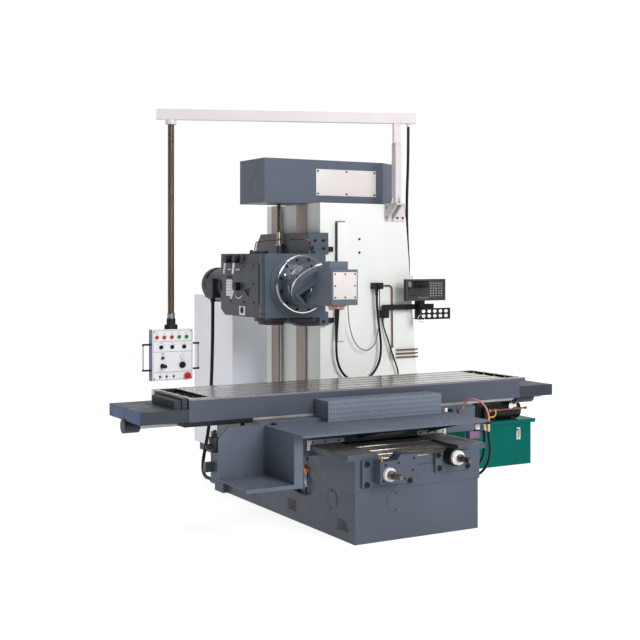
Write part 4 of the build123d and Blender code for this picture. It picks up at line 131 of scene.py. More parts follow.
# Sprayed paint, machined metal, and moulded plastic or rubber
paint = kind(rough=0.42, metal=0.0, shine=0.25, mottle=0.10, cloud=2.2, grain=220.0, bump=0.05, wear=0.35,
             worn=1.5)
metal = kind(rough=0.28, metal=1.0, shine=0.5, mottle=0.14, cloud=5.0, grain=160.0, bump=0.04, wear=0.15,
             worn=1.2)
plastic = kind(rough=0.5, metal=0.0, shine=0.25, mottle=0.08, cloud=14.0, grain=700.0, bump=0.04, wear=0.2,
               worn=1.4)


def feed(tree, socket, value):
    """Links another node's output to an input, or sets the input."""
    if isinstance(value, bpy.types.NodeSocket):
        tree.links.new(value, socket)
    else:
        socket.default_value = value


def add_node(tree, sort, *values, **settings):
    """A shader node: values feed its inputs in order, settings its properties and inputs by name."""
    node = tree.nodes.new(sort)
    for name, value in settings.items():
        if hasattr(node, name):
            setattr(node, name, value)
        else:
            feed(tree, node.inputs[name], value)
    for socket, value in zip(node.inputs, values):
        feed(tree, socket, value)
    return node


def place_in(tree):
    """The place in the object's own coordinates."""
    return add_node(tree, "ShaderNodeTexCoord").outputs["Object"]


def noise(tree, look, scale):
    """Noise in the object's own coordinates, stretched along the surface marks."""
    mapped = add_node(tree, "ShaderNodeMapping", Vector=place_in(tree), Scale=look["stretch"])
    pattern = add_node(tree, "ShaderNodeTexNoise", Vector=mapped.outputs["Vector"], Scale=scale, Detail=4.0)
    return pattern.outputs["Fac"]


def ramp(tree, value, low, high, start=0.3, end=0.7):
    """A colour that goes from low to high as a value does."""
    node = add_node(tree, "ShaderNodeValToRGB", value)
    first, last = node.color_ramp.elements
    first.position, last.position = start, end
    first.color, last.color = (*low, 1), (*high, 1)
    return node.outputs["Color"]


def edge_mask(tree, look):
    """Bright where the surface bends sharply, broken up by noise; and the normal with edges rounded."""
    rounded = add_node(tree, "ShaderNodeBevel", samples=4, Radius=0.004).outputs["Normal"]
    true = add_node(tree, "ShaderNodeNewGeometry").outputs["Normal"]
    bend = add_node(tree, "ShaderNodeVectorMath", rounded, true, operation="DOT_PRODUCT").outputs["Value"]
    bend = ramp(tree, bend, (1, 1, 1), (0, 0, 0), 0.88, 0.99)
    patch = ramp(tree, noise(tree, look, 30.0), (0, 0, 0), (1, 1, 1), 0.35, 0.65)
    both = add_node(tree, "ShaderNodeMixRGB", 0.7, bend, patch, blend_type="MULTIPLY").outputs["Color"]
    worn = add_node(tree, "ShaderNodeMath", both, look["wear"], operation="MULTIPLY")
    return worn.outputs["Value"], rounded


def surface(tree, look):
    """One finish as a shader: mottled colour, uneven gloss, fine bump and edge wear."""
    shades = [1 - look["mottle"], 1 + look["mottle"]]
    dark, light = [[min(1.0, part * shade) for part in look["tone"]] for shade in shades]
    colour = ramp(tree, noise(tree, look, look["cloud"]), dark, light)
    edges, rounded = edge_mask(tree, look)
    worn = (*[min(1.0, part * look["worn"] + 0.02) for part in look["tone"]], 1)
    mixed = add_node(tree, "ShaderNodeMixRGB", edges, colour, worn)
    gloss = [[look["rough"] * share] * 3 for share in (0.8, 1.2)]
    dull = ramp(tree, noise(tree, look, look["cloud"] * 7), *gloss)
    bump = add_node(tree, "ShaderNodeBump", Strength=look["bump"], Distance=0.001, Normal=rounded,
                    Height=noise(tree, look, look["grain"]))
    body = add_node(tree, "ShaderNodeBsdfPrincipled", Metallic=look["metal"], Roughness=dull, **{
        "Base Color": mixed.outputs["Color"], "Normal": bump.outputs["Normal"],
        "Specular IOR Level": look["shine"], "Transmission Weight": look["clear"],
        "Coat Weight": look["coat"], "Emission Strength": look["glow"],
    })
    return body.outputs["BSDF"]


def in_span(tree, axis, low, high):
    """1 where a coordinate of the object, in millimetres, lies within a span."""
    value = add_node(tree, "ShaderNodeSeparateXYZ", place_in(tree)).outputs[axis.upper()]
    middle, reach = (low + high) / 2 * MM, (high - low) / 2 * MM
    return add_node(tree, "ShaderNodeMath", value, middle, reach, operation="COMPARE").outputs["Value"]


def in_round(tree, axis, centre, radius):
    """1 within a radius of a line along one axis, in millimetres."""
    across = [0.0 if name == axis else 1.0 for name in "xyz"]
    middle = [part * MM * keep for part, keep in zip(centre, across)]
    flat = add_node(tree, "ShaderNodeVectorMath", place_in(tree), across, operation="MULTIPLY")
    gap = add_node(tree, "ShaderNodeVectorMath", flat.outputs["Vector"], middle, operation="DISTANCE")
    test = add_node(tree, "ShaderNodeMath", gap.outputs["Value"], radius * MM, operation="LESS_THAN")
    return test.outputs["Value"]


def make(name, slot, look, *zones):
    """A material; each zone is another look and the tests that say where it lies."""
    material = bpy.data.materials.new(name)
    material.use_nodes = True
    tree = material.node_tree
    tree.nodes.clear()
    result = surface(tree, look)
    for other, *tests in zones:
        mask = 1.0
        for test, *values in tests:
            found = in_round(tree, *values) if test == "round" else in_span(tree, test, *values)
            mask = add_node(tree, "ShaderNodeMath", mask, found, operation="MULTIPLY").outputs["Value"]
        result = add_node(tree, "ShaderNodeMixShader", mask, result, surface(tree, other)).outputs["Shader"]
    add_node(tree, "ShaderNodeOutputMaterial", result)
    MATERIALS[name] = (material, slot)


MATERIALS = {}

GREY = paint(73, 80, 92)
# The bed pockets' grey with a faint glow: painted light that lifts the shade inside the pockets
POCKET_PAINTED_LIGHT = paint(73, 80, 92, glow=0.045)
# The bed's grey made lighter for the saddle, platform and top cover: painted light on the upper parts
LIT_UPPER_GREY = paint(84, 92, 105)
DARK_GREY = paint(50, 55, 64)
HOOD_GREY = paint(60, 64, 73, shine=0.08)
# Darker grey of the trays' bottom edge and underside: painted shade beneath them
HOOD_UNDERSIDE_SHADE = paint(44, 48, 58)
# Blue-grey of the trays' left end face: painted shade of a face turned from the light
TRAY_END_SHADE = paint(60, 78, 122, shine=0.15)
# Blue-grey of the pendant box's left side: painted shade of the side turned from the light
PENDANT_SIDE_SHADE = paint(104, 114, 150)
HEAD_GREY = paint(76, 87, 97, rough=0.34)
# The head's grey made darker for the gearbox's left face: painted shade of the side turned from the light
GEARBOX_SIDE_SHADE = paint(62, 68, 78, rough=0.34)
WHITE = paint(226, 228, 225, rough=0.4, mottle=0.03, worn=0.9)
PANEL_WHITE = paint(232, 232, 235, rough=0.38, mottle=0.02, worn=0.95)
LIGHT_GREY = paint(236, 239, 246, mottle=0.04)
GREEN = paint(0, 94, 86, rough=0.35, shine=0.06)
BLACK = paint(22, 22, 24, rough=0.4)
PINK = paint(206, 176, 180, rough=0.35)
PURPLE = paint(124, 92, 122, rough=0.35)
YELLOW = paint(206, 160, 52)
OILED = metal(142, 140, 137, rough=0.4, metal=0.1, shine=0.3, mottle=0.2, cloud=9.0)
WAY_BROWN = metal(140, 126, 121, rough=0.34, metal=0.5, mottle=0.15, cloud=9.0, stretch=(1, 1, 0.1))
WAY_STEEL = metal(128, 124, 114, rough=0.4, metal=0.15, mottle=0.2)
TABLE_TOP = metal(174, 170, 166, rough=0.2, mottle=0.16, cloud=7.0, stretch=(0.15, 1, 1))
TABLE_EDGE = metal(132, 127, 136, rough=0.25, mottle=0.1, cloud=7.0)
COPPER = metal(164, 104, 78, rough=0.3)
PIPE_BROWN = metal(128, 96, 76, rough=0.32)
SCREW_BROWN = metal(176, 158, 136, rough=0.3)
DIAL_SHAFT = metal(118, 104, 94, rough=0.3)
DIAL_WHITE = plastic(226, 224, 226, rough=0.35)
BLACK_PLASTIC = plastic(18, 18, 20, rough=0.4)

# Finishes that are the same all over, by the slot that they stand for
PLAIN = {
    "grey_paint": {
        "grey": GREY, "lit_upper_grey": LIT_UPPER_GREY, "dark_grey": DARK_GREY, "head_grey": HEAD_GREY,
        # carrier is the head's grey made lighter: a painted highlight on the spindle carrier
        "gearbox_side_shade": GEARBOX_SIDE_SHADE, "motor": paint(40, 45, 53), "carrier": paint(92, 102, 114, rough=0.34),
        "swivel": paint(72, 83, 92, rough=0.22, shine=0.5, coat=0.3, bump=0.0),
    },
    "white_paint": {
        "white": WHITE, "panel_white": PANEL_WHITE,
        "boom_white": paint(209, 201, 203, rough=0.4, mottle=0.03, worn=0.9),
        "plate_white": paint(210, 204, 202, rough=0.35, mottle=0.02, worn=0.95),
    },
    "cabinet_paint": {"light_grey": LIGHT_GREY},
    "green_paint": {"green": GREEN},
    "black_paint": {"black": BLACK},
    "tread_plate": {"tread": paint(118, 127, 140, rough=0.36, metal=0.1, mottle=0.12, worn=1.5)},
    "machined_iron": {"iron": metal(176, 170, 170, rough=0.3, mottle=0.12), "oiled": OILED},
    "bright_steel": {
        "polished": metal(226, 226, 230, rough=0.14, mottle=0.06, cloud=7.0),
        "chrome": metal(214, 214, 218, rough=0.1, mottle=0.05),
        "spindle": metal(176, 140, 122, rough=0.25),
    },
    "steel": {
        "steel": metal(150, 150, 154, rough=0.3),
        "conduit": metal(112, 94, 86, rough=0.34, metal=0.75, mottle=0.2, cloud=3.0),
        "chain": metal(84, 72, 62, rough=0.38, mottle=0.25, cloud=40.0),
    },
    "copper_pipe": {
        "copper": COPPER, "brass": metal(200, 168, 96, rough=0.3),
        "pale_brass": metal(196, 180, 140, rough=0.3),
    },
    "hose_rubber": {
        "rubber": plastic(20, 19, 19, rough=0.5), "wire": plastic(92, 90, 84, rough=0.5),
        "pink_hose": plastic(196, 132, 122, rough=0.4),
    },
    "red_plastic": {
        "red": plastic(192, 42, 36, rough=0.3), "amber": plastic(112, 84, 62, rough=0.3),
        "orange": plastic(206, 104, 30, rough=0.35),
    },
    "green_plastic": {"green_lens": plastic(20, 120, 62, rough=0.3)},
    "white_plastic": {
        "dial_white": DIAL_WHITE, "sight": plastic(190, 166, 110, rough=0.1, clear=0.3, wear=0.0),
    },
    "black_plastic": {
        "black_plastic": BLACK_PLASTIC,
        "glass": plastic(16, 15, 17, rough=0.12, wear=0.0, bump=0.0, coat=0.4),
    },
    "display_case": {"display": plastic(62, 60, 64, rough=0.45)},
}

PENDANT_X, PENDANT_Y, PENDANT_Z = -551.9, 1234.5, 795.5
LEVER_HUBS = {
    "speed_lever_rear": (0, 1057, 1386),
    "speed_lever_front": (0, 934, 1386),
    "range_lever": (0, 925, 1220),
}
FEED_DIALS = (("cross_feed_shaft", (-232, -725, 346), 34), ("lift_feed_shaft", (180, -725, 391), 37))


def make_materials():
    """Every finish by name: the plain ones, then those with zones in the CAD node's coordinates."""
    make("floor", None, paint(160, 160, 159, rough=0.9, mottle=0.004, wear=0.0, bump=0.0, glow=0.84))
    for slot, looks in PLAIN.items():
        for name, look in looks.items():
            make(name, slot, look)
    make("bed", "grey_paint", GREY, (OILED, ("z", 436.5, FAR)),
         # both pockets in the bed's sides glow faintly, painted light in their shade
         (POCKET_PAINTED_LIGHT, ("x", -370, -289), ("y", -620, 570), ("z", 48, 112)),
         (POCKET_PAINTED_LIGHT, ("x", 289, 370), ("y", -620, 570), ("z", 48, 112)))
    make("way_cover", "steel", WAY_STEEL, (GREY, ("y", -FAR, -623.4)))
    make("feed_cases", "grey_paint", GREY, (BLACK, ("round", "y", (180, 0, 391), 45.6), ("y", -720, -643)))
    make("column", "white_paint", WHITE,
         (WAY_BROWN, ("x", -FAR, 262.5), ("y", 995, 1118), ("z", 60, 1735.5)),
         (WAY_BROWN, ("x", -FAR, 262.5), ("y", 1362, 1464), ("z", 60, 1735.5)),
         (BLACK, ("x", 687, 737), ("y", 770, 828.6), ("z", 1005, 1061)))
    # The saddle and the platform take the lighter grey, painted light
    make("saddle", "grey_paint", LIT_UPPER_GREY, (OILED, ("z", 573.5, FAR)), (BLACK, ("x", -FAR, -705.2)))
    make("platform", "tread_plate", LIT_UPPER_GREY,
         (PURPLE, ("x", 338, 411.5), ("y", -596, -564), ("z", 456, 496)),
         (BLACK, ("x", 399, 436), ("y", -660, -594), ("z", 530, 549.5)))
    make("table", "machined_iron", GREY, (TABLE_TOP, ("z", 668, FAR), ("y", -181.5, 317.5)),
         (TABLE_EDGE, ("z", 694, FAR), ("y", -FAR, -181.5)),
         (BLACK, ("x", -1021, -924), ("y", -152.5, 288.5), ("z", 670, 702)),
         (BLACK, ("x", 924, 1021), ("y", -152.5, 288.5), ("z", 670, 702)))
    # The trays' left end face and bottom edge take painted shade
    make("trays", "grey_paint", HOOD_GREY, (TRAY_END_SHADE, ("x", -FAR, -1302.6), ("z", 588, 653)),
         (HOOD_UNDERSIDE_SHADE, ("z", -FAR, 589.5)))
    # The gearbox's left face is darker, painted shade
    make("gearbox", "grey_paint", HEAD_GREY, (GEARBOX_SIDE_SHADE, ("x", -FAR, -245.5)),
         (SCREW_BROWN, ("z", 1470, FAR)))
    make("pump", "black_paint", BLACK, (GREEN, ("z", -FAR, 304.5)))
    make("pipes", "copper_pipe", PIPE_BROWN,
         (WHITE, ("x", 773, 807), ("z", 736, 816.5)), (BLACK, ("x", 610, 695), ("z", 1188, 1245)),
         (COPPER, ("x", 1470, FAR)), (YELLOW, ("x", 1470, FAR), ("z", -FAR, 372)))
    make("pendant", "white_paint", PANEL_WHITE,
         # the pendant's left side face takes painted shade
         (PENDANT_SIDE_SHADE, ("x", -FAR, PENDANT_X - 133.8)), (BLACK, ("z", 953.3, FAR)),
         (BLACK, ("x", -FAR, PENDANT_X - 134.2)), (BLACK, ("x", PENDANT_X + 134.2, FAR)),
         (PINK, ("x", -FAR, PENDANT_X - 175), ("z", 712, 852)),
         (PINK, ("x", PENDANT_X + 175, FAR), ("z", 712, 852)))
    # The cabinet's darker band at the foot, below 60 mm, is painted shade
    make("cabinet", "cabinet_paint", LIGHT_GREY, (DARK_GREY, ("z", -FAR, 60.2)))
    for node, centre in LEVER_HUBS.items():
        make(node, "black_plastic", DIAL_WHITE, (BLACK_PLASTIC, ("round", "x", centre, 24.6)))
    for node, (_, front, _), _ in FEED_DIALS:
        make(node, "white_plastic", DIAL_SHAFT, (DIAL_WHITE, ("y", front - 0.4, front + 30)))


# CAD nodes by finish; a node that isn't listed has a finish of its own name, or is replaced by a piece
NODE_FINISH = {
    "lit_upper_grey": ("top_cover",),
    "head_grey": ("head_slide",),
    "motor": ("main_motor",),
    "trays": ("table_trays",),
    "boom_white": ("pole", "boom"),
    "pendant": ("pendant_box",),
    "light_grey": ("cabinet_door",),
    "green": ("oil_tank",),
    "pump": ("pump_unit",),
    "pipes": ("oil_pipes",),
    "tread": ("feed_box",),
    "oiled": ("counterweight",),
    "steel": ("motor_rotor", "x_screw", "y_screw", "z_screw", "front_chain_wheel", "rear_chain_wheel"),
    "chrome": ("toggle_1", "toggle_2", "toggle_3"),
    "red": ("red_button_1", "red_button_2", "red_button_3", "emergency_stop"),
    "green_lens": ("green_button_1", "green_button_2"),
    "dial_white": ("white_button",),
    "black_plastic": ("selector_1", "selector_2", "selector_3", "fine_dial", "feed_knob", "joystick"),
    "black": ("readout_arm",),
    "display": ("readout_display",),
}


def dress_nodes():
    """Gives every CAD node that stays its finish."""
    listed = {node: finish for finish, nodes in NODE_FINISH.items() for node in nodes}
    for name, node in NODES.items():
        finish = listed.get(name, name)
        if finish in MATERIALS:
            for slot in node.material_slots:
                slot.material = MATERIALS[finish][0]


# ---------------------------------------------------------------- mesh tools, in millimetres

# The mesh that every tool adds to, until piece takes it and leaves it empty
FORM = bmesh.new()


def piece(name, body, finish, smooth=35):
    """Turns what has been formed, in millimetres, into a piece that rides a body."""
    bmesh.ops.recalc_face_normals(FORM, faces=FORM.faces)
    bmesh.ops.scale(FORM, vec=(MM, MM, MM), verts=FORM.verts)
    mesh = bpy.data.meshes.new(name)
    FORM.to_mesh(mesh)
    FORM.clear()
    material, slot = MATERIALS[finish]
    mesh.materials.append(material)
    mesh.shade_smooth()
    mesh.set_sharp_from_angle(angle=math.radians(smooth))
    made = show(name, mesh)
    if body:
        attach(made, body)
    return made


def block(x, y, z, edge=1.5):
    """A box given by its limits, with rounded edges."""
    low = Vector((min(x), min(y), min(z)))
    size = Vector((max(x), max(y), max(z))) - low
    corners = bmesh.ops.create_cube(FORM, size=1.0)["verts"]
    for corner in corners:
        corner.co = Vector([low[i] + (corner.co[i] + 0.5) * size[i] for i in range(3)])
    edges = list(dict.fromkeys(line for corner in corners for line in corner.link_edges))
    offset = min(edge, min(size) * 0.4)
    bmesh.ops.bevel(FORM, geom=edges, offset=offset, segments=2, profile=0.5, affect="EDGES")


def circle(at, axis, radius, sides=32, along=0.0):
    """Points round a circle square to an axis, some way along it."""
    turn = Vector(axis).to_track_quat("Z", "Y").to_matrix()
    angles = [2 * math.pi * step / sides for step in range(sides)]
    return [Vector(at) + turn @ Vector((radius * math.cos(a), radius * math.sin(a), along)) for a in angles]


def turned(at, axis, profile, sides=32):
    """Turns pairs of radius and distance round an axis that starts at a point."""
    loops = []
    for radius, along in profile:
        points = circle(at, axis, radius, sides if radius else 1, along)
        loops.append([FORM.verts.new(point) for point in points])
    for first, second in zip(loops, loops[1:]):
        for step in range(sides):
            after = (step + 1) % sides
            if len(first) == 1:
                FORM.faces.new((first[0], second[step], second[after]))
            elif len(second) == 1:
                FORM.faces.new((first[step], first[after], second[0]))
            else:
                FORM.faces.new((first[step], first[after], second[after], second[step]))


def plate(outline, thick, holes=()):
    """A flat plate from its outline's points, thickened along a vector, with holes."""
    edges = []
    for loop in (outline, *holes):
        verts = [FORM.verts.new(point) for point in loop]
        edges += [FORM.edges.new(pair) for pair in zip(verts, verts[1:] + verts[:1])]
    filled = bmesh.ops.triangle_fill(FORM, use_beauty=True, use_dissolve=True, edges=edges)
    faces = [item for item in filled["geom"] if isinstance(item, bmesh.types.BMFace)]
    grown = bmesh.ops.extrude_face_region(FORM, geom=faces)
    moved = [item for item in grown["geom"] if isinstance(item, bmesh.types.BMVert)]
    bmesh.ops.translate(FORM, vec=thick, verts=moved)


def points_y(y, pairs):
    """Points on a plane square to Y from pairs of X and Z."""
    return [Vector((x, y, z)) for x, z in pairs]


def points_x(x, pairs):
    """Points on a plane square to X from pairs of Y and Z."""
    return [Vector((x, y, z)) for y, z in pairs]


def screw(at, axis, radius, sides=20):
    """A socket-head screw standing on a face."""
    high = radius * 0.9
    profile = [(0, 0), (radius, 0), (radius, high * 0.85), (radius * 0.88, high),
               (radius * 0.5, high), (radius * 0.5, high * 0.4), (0, high * 0.4)]
    turned(at, axis, profile, sides)


def tube(points, radius, sides=14):
    """A tube along points, of one radius or of one for each point."""
    side = None
    loops = []
    for index, point in enumerate(points):
        ahead = (points[min(index + 1, len(points) - 1)] - points[max(index - 1, 0)]).normalized()
        if side is None:
            side = ahead.orthogonal().normalized()
        else:
            side = (side - ahead * side.dot(ahead)).normalized()
        other = ahead.cross(side)
        size = radius[index] if isinstance(radius, list) else radius
        angles = [2 * math.pi * step / sides for step in range(sides)]
        places = [point + (side * math.cos(a) + other * math.sin(a)) * size for a in angles]
        loops.append([FORM.verts.new(place) for place in places])
    for first, second in zip(loops, loops[1:]):
        for step in range(sides):
            after = (step + 1) % sides
            FORM.faces.new((first[step], first[after], second[after], second[step]))
    FORM.faces.new(loops[0])
    FORM.faces.new(loops[-1])


def bar(start, end, radius, sides=14):
    """A straight round bar between two points."""
    tube([Vector(start), Vector(end)], radius, sides)


# ---------------------------------------------------------------- cords

MOTOR_CABLE = (
    (-230, 1350, 1112), (-230, 1350, 930), (-234, 1351, 740), (-241, 1350, 560), (-250, 1346, 410),
    (-268, 1335, 285), (-300, 1310, 190), (-338, 1262, 115), (-366, 1195, 66), (-380, 1125, 46),
    (-386, 1065, 50), (-386, 1020, 50),
)
HEAD_HOSE = (
    (367, 783, 1250), (367, 783, 1131), (364, 783, 1030), (355, 783, 930), (350, 784, 830), (360, 785, 745),
    (392, 786, 678), (450, 786, 630), (522, 786, 612), (594, 786, 636), (648, 785, 690), (678, 784, 762),
    (681, 783, 850), (668, 783, 940), (656, 784, 1035), (650, 786, 1125), (650, 786, 1195),
)
HEAD_WIRE = (
    (433, 783, 1250), (433, 783, 1165), (435, 782, 1080), (441, 782, 1000), (455, 781, 925),
    (484, 781, 860), (530, 780, 816), (584, 780, 808), (632, 780, 842), (654, 782, 908), (664, 784, 985),
    (670, 786, 1060), (672, 787, 1130), (672, 787, 1195),
)
READOUT_CABLE = (
    (712, 812, 1010), (712, 812, 975), (720, 805, 935), (738, 798, 880), (760, 794, 815), (784, 792, 750),
    (808, 796, 697), (824, 802, 657), (824, 802, 630),
)
BOOM_CABLE = (
    (845.9, 720.5, 2226), (845.9, 720.5, 2116), (858, 742, 1970), (878, 782, 1820), (908, 830, 1670),
    (930, 856, 1520), (945, 867, 1390), (951, 871, 1330), (951, 871, 1280),
)
FRONT_HOSE = (
    (419, -648, 536), (419, -648, 484), (430, -646, 430), (444, -631, 374), (453, -598, 318),
    (458, -550, 272), (458, -494, 240), (458, -440, 240),
)
REAR_HOSE = (
    (424, -608, 536), (424, -608, 486), (426, -606, 436), (432, -595, 388), (439, -571, 344),
    (443, -536, 308), (444, -489, 288), (444, -440, 288),
)
LUBE_HOSE = (
    (518, -265, 552), (510, -297, 572), (507, -330, 604), (512, -366, 626), (519, -403, 632),
    (528, -440, 622), (533, -476, 600), (527, -507, 571), (512, -535, 540), (489, -562, 511),
    (455, -580, 486), (411, -580, 486),
)
CONDUIT = ((PENDANT_X, 1262.5, 1017.3), (PENDANT_X, 1262.5, 1616.0), (PENDANT_X, 1262.5, 2216.0))


def centreline(name, route):
    """Points along the smooth curve that a route's points control, in millimetres."""
    curve = bpy.data.curves.new(name + "_route", "CURVE")
    curve.dimensions = "3D"
    curve.resolution_u = 10
    spline = curve.splines.new("NURBS")
    spline.points.add(len(route) - 1)
    for point, place in zip(spline.points, route):
        point.co = (*[value * MM for value in place], 1)
    spline.order_u = 3
    spline.use_endpoint_u = True
    holder = bpy.data.objects.new(name + "_route", curve)
    line = bpy.data.meshes.new_from_object(holder)
    points = [vertex.co / MM for vertex in line.vertices]
    bpy.data.objects.remove(holder)
    bpy.data.curves.remove(curve)
    bpy.data.meshes.remove(line)
    return points


def cord(name, route, diameter, finish, node, body=None, between=None):
    """A cable or hose: a tube along its route, fixed to a body, or left free where it lies when between is
    given.
    """
    points = centreline(name, route)
    tube(points, diameter / 2)
    made = piece(name, body, finish, smooth=60)
    if between:
        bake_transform(made)
    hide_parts(node)


def make_cords():
    """The cables and hoses, each along the route that the CAD solid follows."""
    cord("motor_cable", MOTOR_CABLE, 22, "rubber", "head_cables",
         between=("head", "base", (-230, 1350, 1000), (-300, 1310, 190)))
    cord("head_hose", HEAD_HOSE, 15, "rubber", "head_cables",
         between=("head", "base", (367, 785, 900), (650, 785, 900)))
    cord("head_wire", HEAD_WIRE, 6, "wire", "head_cables",
         between=("head", "base", (433, 785, 900), (672, 785, 900)))
    cord("readout_cable", READOUT_CABLE, 10, "rubber", "readout_cable",
         body="base")
    cord("boom_cable", BOOM_CABLE, 18, "rubber", "boom_cable",
         between=("boom", "base", (845.9, 720.5, 2200), (951, 871, 1330)))
    cord("front_hose", FRONT_HOSE, 14, "rubber", "saddle_hoses",
         between=("saddle", "base", (419, -648, 520), (458, -440, 250)))
    cord("rear_hose", REAR_HOSE, 14, "rubber", "saddle_hoses",
         between=("saddle", "base", (424, -608, 520), (444, -440, 290)))
    cord("lube_hose", LUBE_HOSE, 10, "pink_hose", "saddle_hoses", body="saddle")


CONDUIT_R, CONDUIT_PITCH = 21, 7.5
# Share of a pitch and change of radius along one rib
CONDUIT_RIB = ((0.0, -2.5), (0.2, 0.0), (0.6, 0.0), (0.8, -2.5))


def make_conduit():
    """The ribbed conduit that the pendant hangs on."""
    ends = centreline("conduit", CONDUIT)
    low, high = ends[0], ends[-1]
    count = int((high - low).length / CONDUIT_PITCH)
    points, sizes = [], []
    for step in range(count):
        for share, change in CONDUIT_RIB:
            points.append(low.lerp(high, (step + share) / count))
            sizes.append(CONDUIT_R + change)
    tube(points, sizes, sides=24)
    made = piece("conduit_ribs", "boom", "conduit", smooth=50)
    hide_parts("conduit")


# ---------------------------------------------------------------- balance chain

CHAIN_X, CHAIN_Y, CHAIN_PITCH = 137, 1141, 19.0
CHAIN_LOW, CHAIN_HIGH = 1558, 1815
CHAIN_BEND, CHAIN_REAR_X, CHAIN_REAR_LOW = 70, 600, 1180


def chain_run(name, points, body=None):
    """Roller chain along points: a roller at each and side plates between neighbours."""
    for index, (first, second) in enumerate(zip(points, points[1:])):
        first, second = Vector(first), Vector(second)
        bar(first - Y * 6, first + Y * 6, 5.5, 12)
        bar(first - Y * 11.5, first + Y * 11.5, 2.6, 10)
        along = (second - first).normalized()
        across = along.cross(Y)
        gap = 7.4 if index % 2 else 9.6
        for side in (-gap, gap):
            middle = (first + second) / 2 + Y * side
            reach = (second - first).length / 2
            outline = []
            for end in (1, -1):
                for step in range(7):
                    angle = math.pi * (step / 6 - 0.5)
                    outline.append(middle - Y * 1.0 + along * end * (reach + 7 * math.cos(angle))
                                   + across * end * 7 * math.sin(angle))
            plate(outline, Y * 2.0)
    return piece(name, body, "chain")


def chain_drop(x, low):
    """Link places straight down from the top of a wheel."""
    steps = int((CHAIN_HIGH - low) / CHAIN_PITCH)
    return [(x, CHAIN_Y, CHAIN_HIGH - step * (CHAIN_HIGH - low) / steps) for step in range(steps + 1)]


def chain_arc(x, start):
    """Link places round a quarter of a wheel, from a share of half a turn."""
    angles = [math.pi * (start - step / 12) for step in range(7)]
    return [(x + CHAIN_BEND * math.cos(a), CHAIN_Y, CHAIN_HIGH + CHAIN_BEND * math.sin(a)) for a in angles]


def make_chain():
    """The balance chain in three runs: down to the head, over the wheels, down to the weight."""
    front, rear = chain_drop(CHAIN_X, CHAIN_LOW), chain_drop(CHAIN_REAR_X, CHAIN_REAR_LOW)
    near, far = CHAIN_X + CHAIN_BEND, CHAIN_REAR_X - CHAIN_BEND
    count = int((far - near) / CHAIN_PITCH)
    level = [(near + (far - near) * step / count, CHAIN_Y, CHAIN_HIGH + CHAIN_BEND)
             for step in range(1, count)]
    over = chain_arc(near, 1) + level + chain_arc(far, 0.5)
    first = chain_run("chain_front", front)
    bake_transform(first)
    middle = chain_run("chain_over", over, "base")
    last = chain_run("chain_rear", rear)
    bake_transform(last)
    for run_piece in (first, middle, last):
        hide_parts("lift_chain")


# ---------------------------------------------------------------- bed, saddle, platform and table

def lozenges(corner, along, across, long, wide, pitch=20.0):
    """Raised diamond-plate lozenges over a rectangle, every other one turned."""
    along, across = Vector(along), Vector(across)
    lift = along.cross(across)
    columns, rows = int(long / pitch), int(wide / pitch)
    for column in range(columns):
        for row in range(rows):
            middle = (Vector(corner) + along * (column + 0.5) * long / columns
                      + across * (row + 0.5) * wide / rows)
            lean = 1 if (column + row) % 2 else -1
            run = (along + across * lean) * 0.7071
            side = (across - along * lean) * 0.7071
            base = [middle + run * 9.5, middle + side * 2.6, middle - run * 9.5, middle - side * 2.6]
            ridge = [middle + run * 5 + lift * 1.3, middle - run * 5 + lift * 1.3]
            a, b, c, d = [FORM.verts.new(point) for point in base]
            e, f = [FORM.verts.new(point) for point in ridge]
            for face in ((a, b, e), (b, c, f, e), (c, d, f), (d, a, e, f), (d, c, b, a)):
                FORM.faces.new(face)


def make_tread():
    """Diamond pattern of the platform, its step and the feed box."""
    lozenges((-674, -652, 558.2), X, Y, 1083, 320)
    lozenges((-674, -330, 558.2), X, Y, 318, 68)
    lozenges((356, -330, 558.2), X, Y, 53, 68)
    lozenges((-926, -518, 315.2), X, Y, 242, 256)
    piece("platform_tread", "saddle", "tread", smooth=20)
    lozenges((-346, -328.2, 562), X, Z, 692, 98)
    lozenges((-346, -322, 664.2), X, Y, 692, 132)
    lozenges((-350.2, -190, 562), -Y, Z, 132, 98)
    lozenges((350.2, -322, 562), Y, Z, 132, 98)
    piece("box_tread", "saddle", "tread", smooth=20)


CASE_SCREWS = ((-315, 391), (-315, 290), (-65, 290), (115, 333), (290, 331), (108, 400))
COVER_EDGES = ((-624, 410), (-560, 418), (-490, 426), (-400, 434))


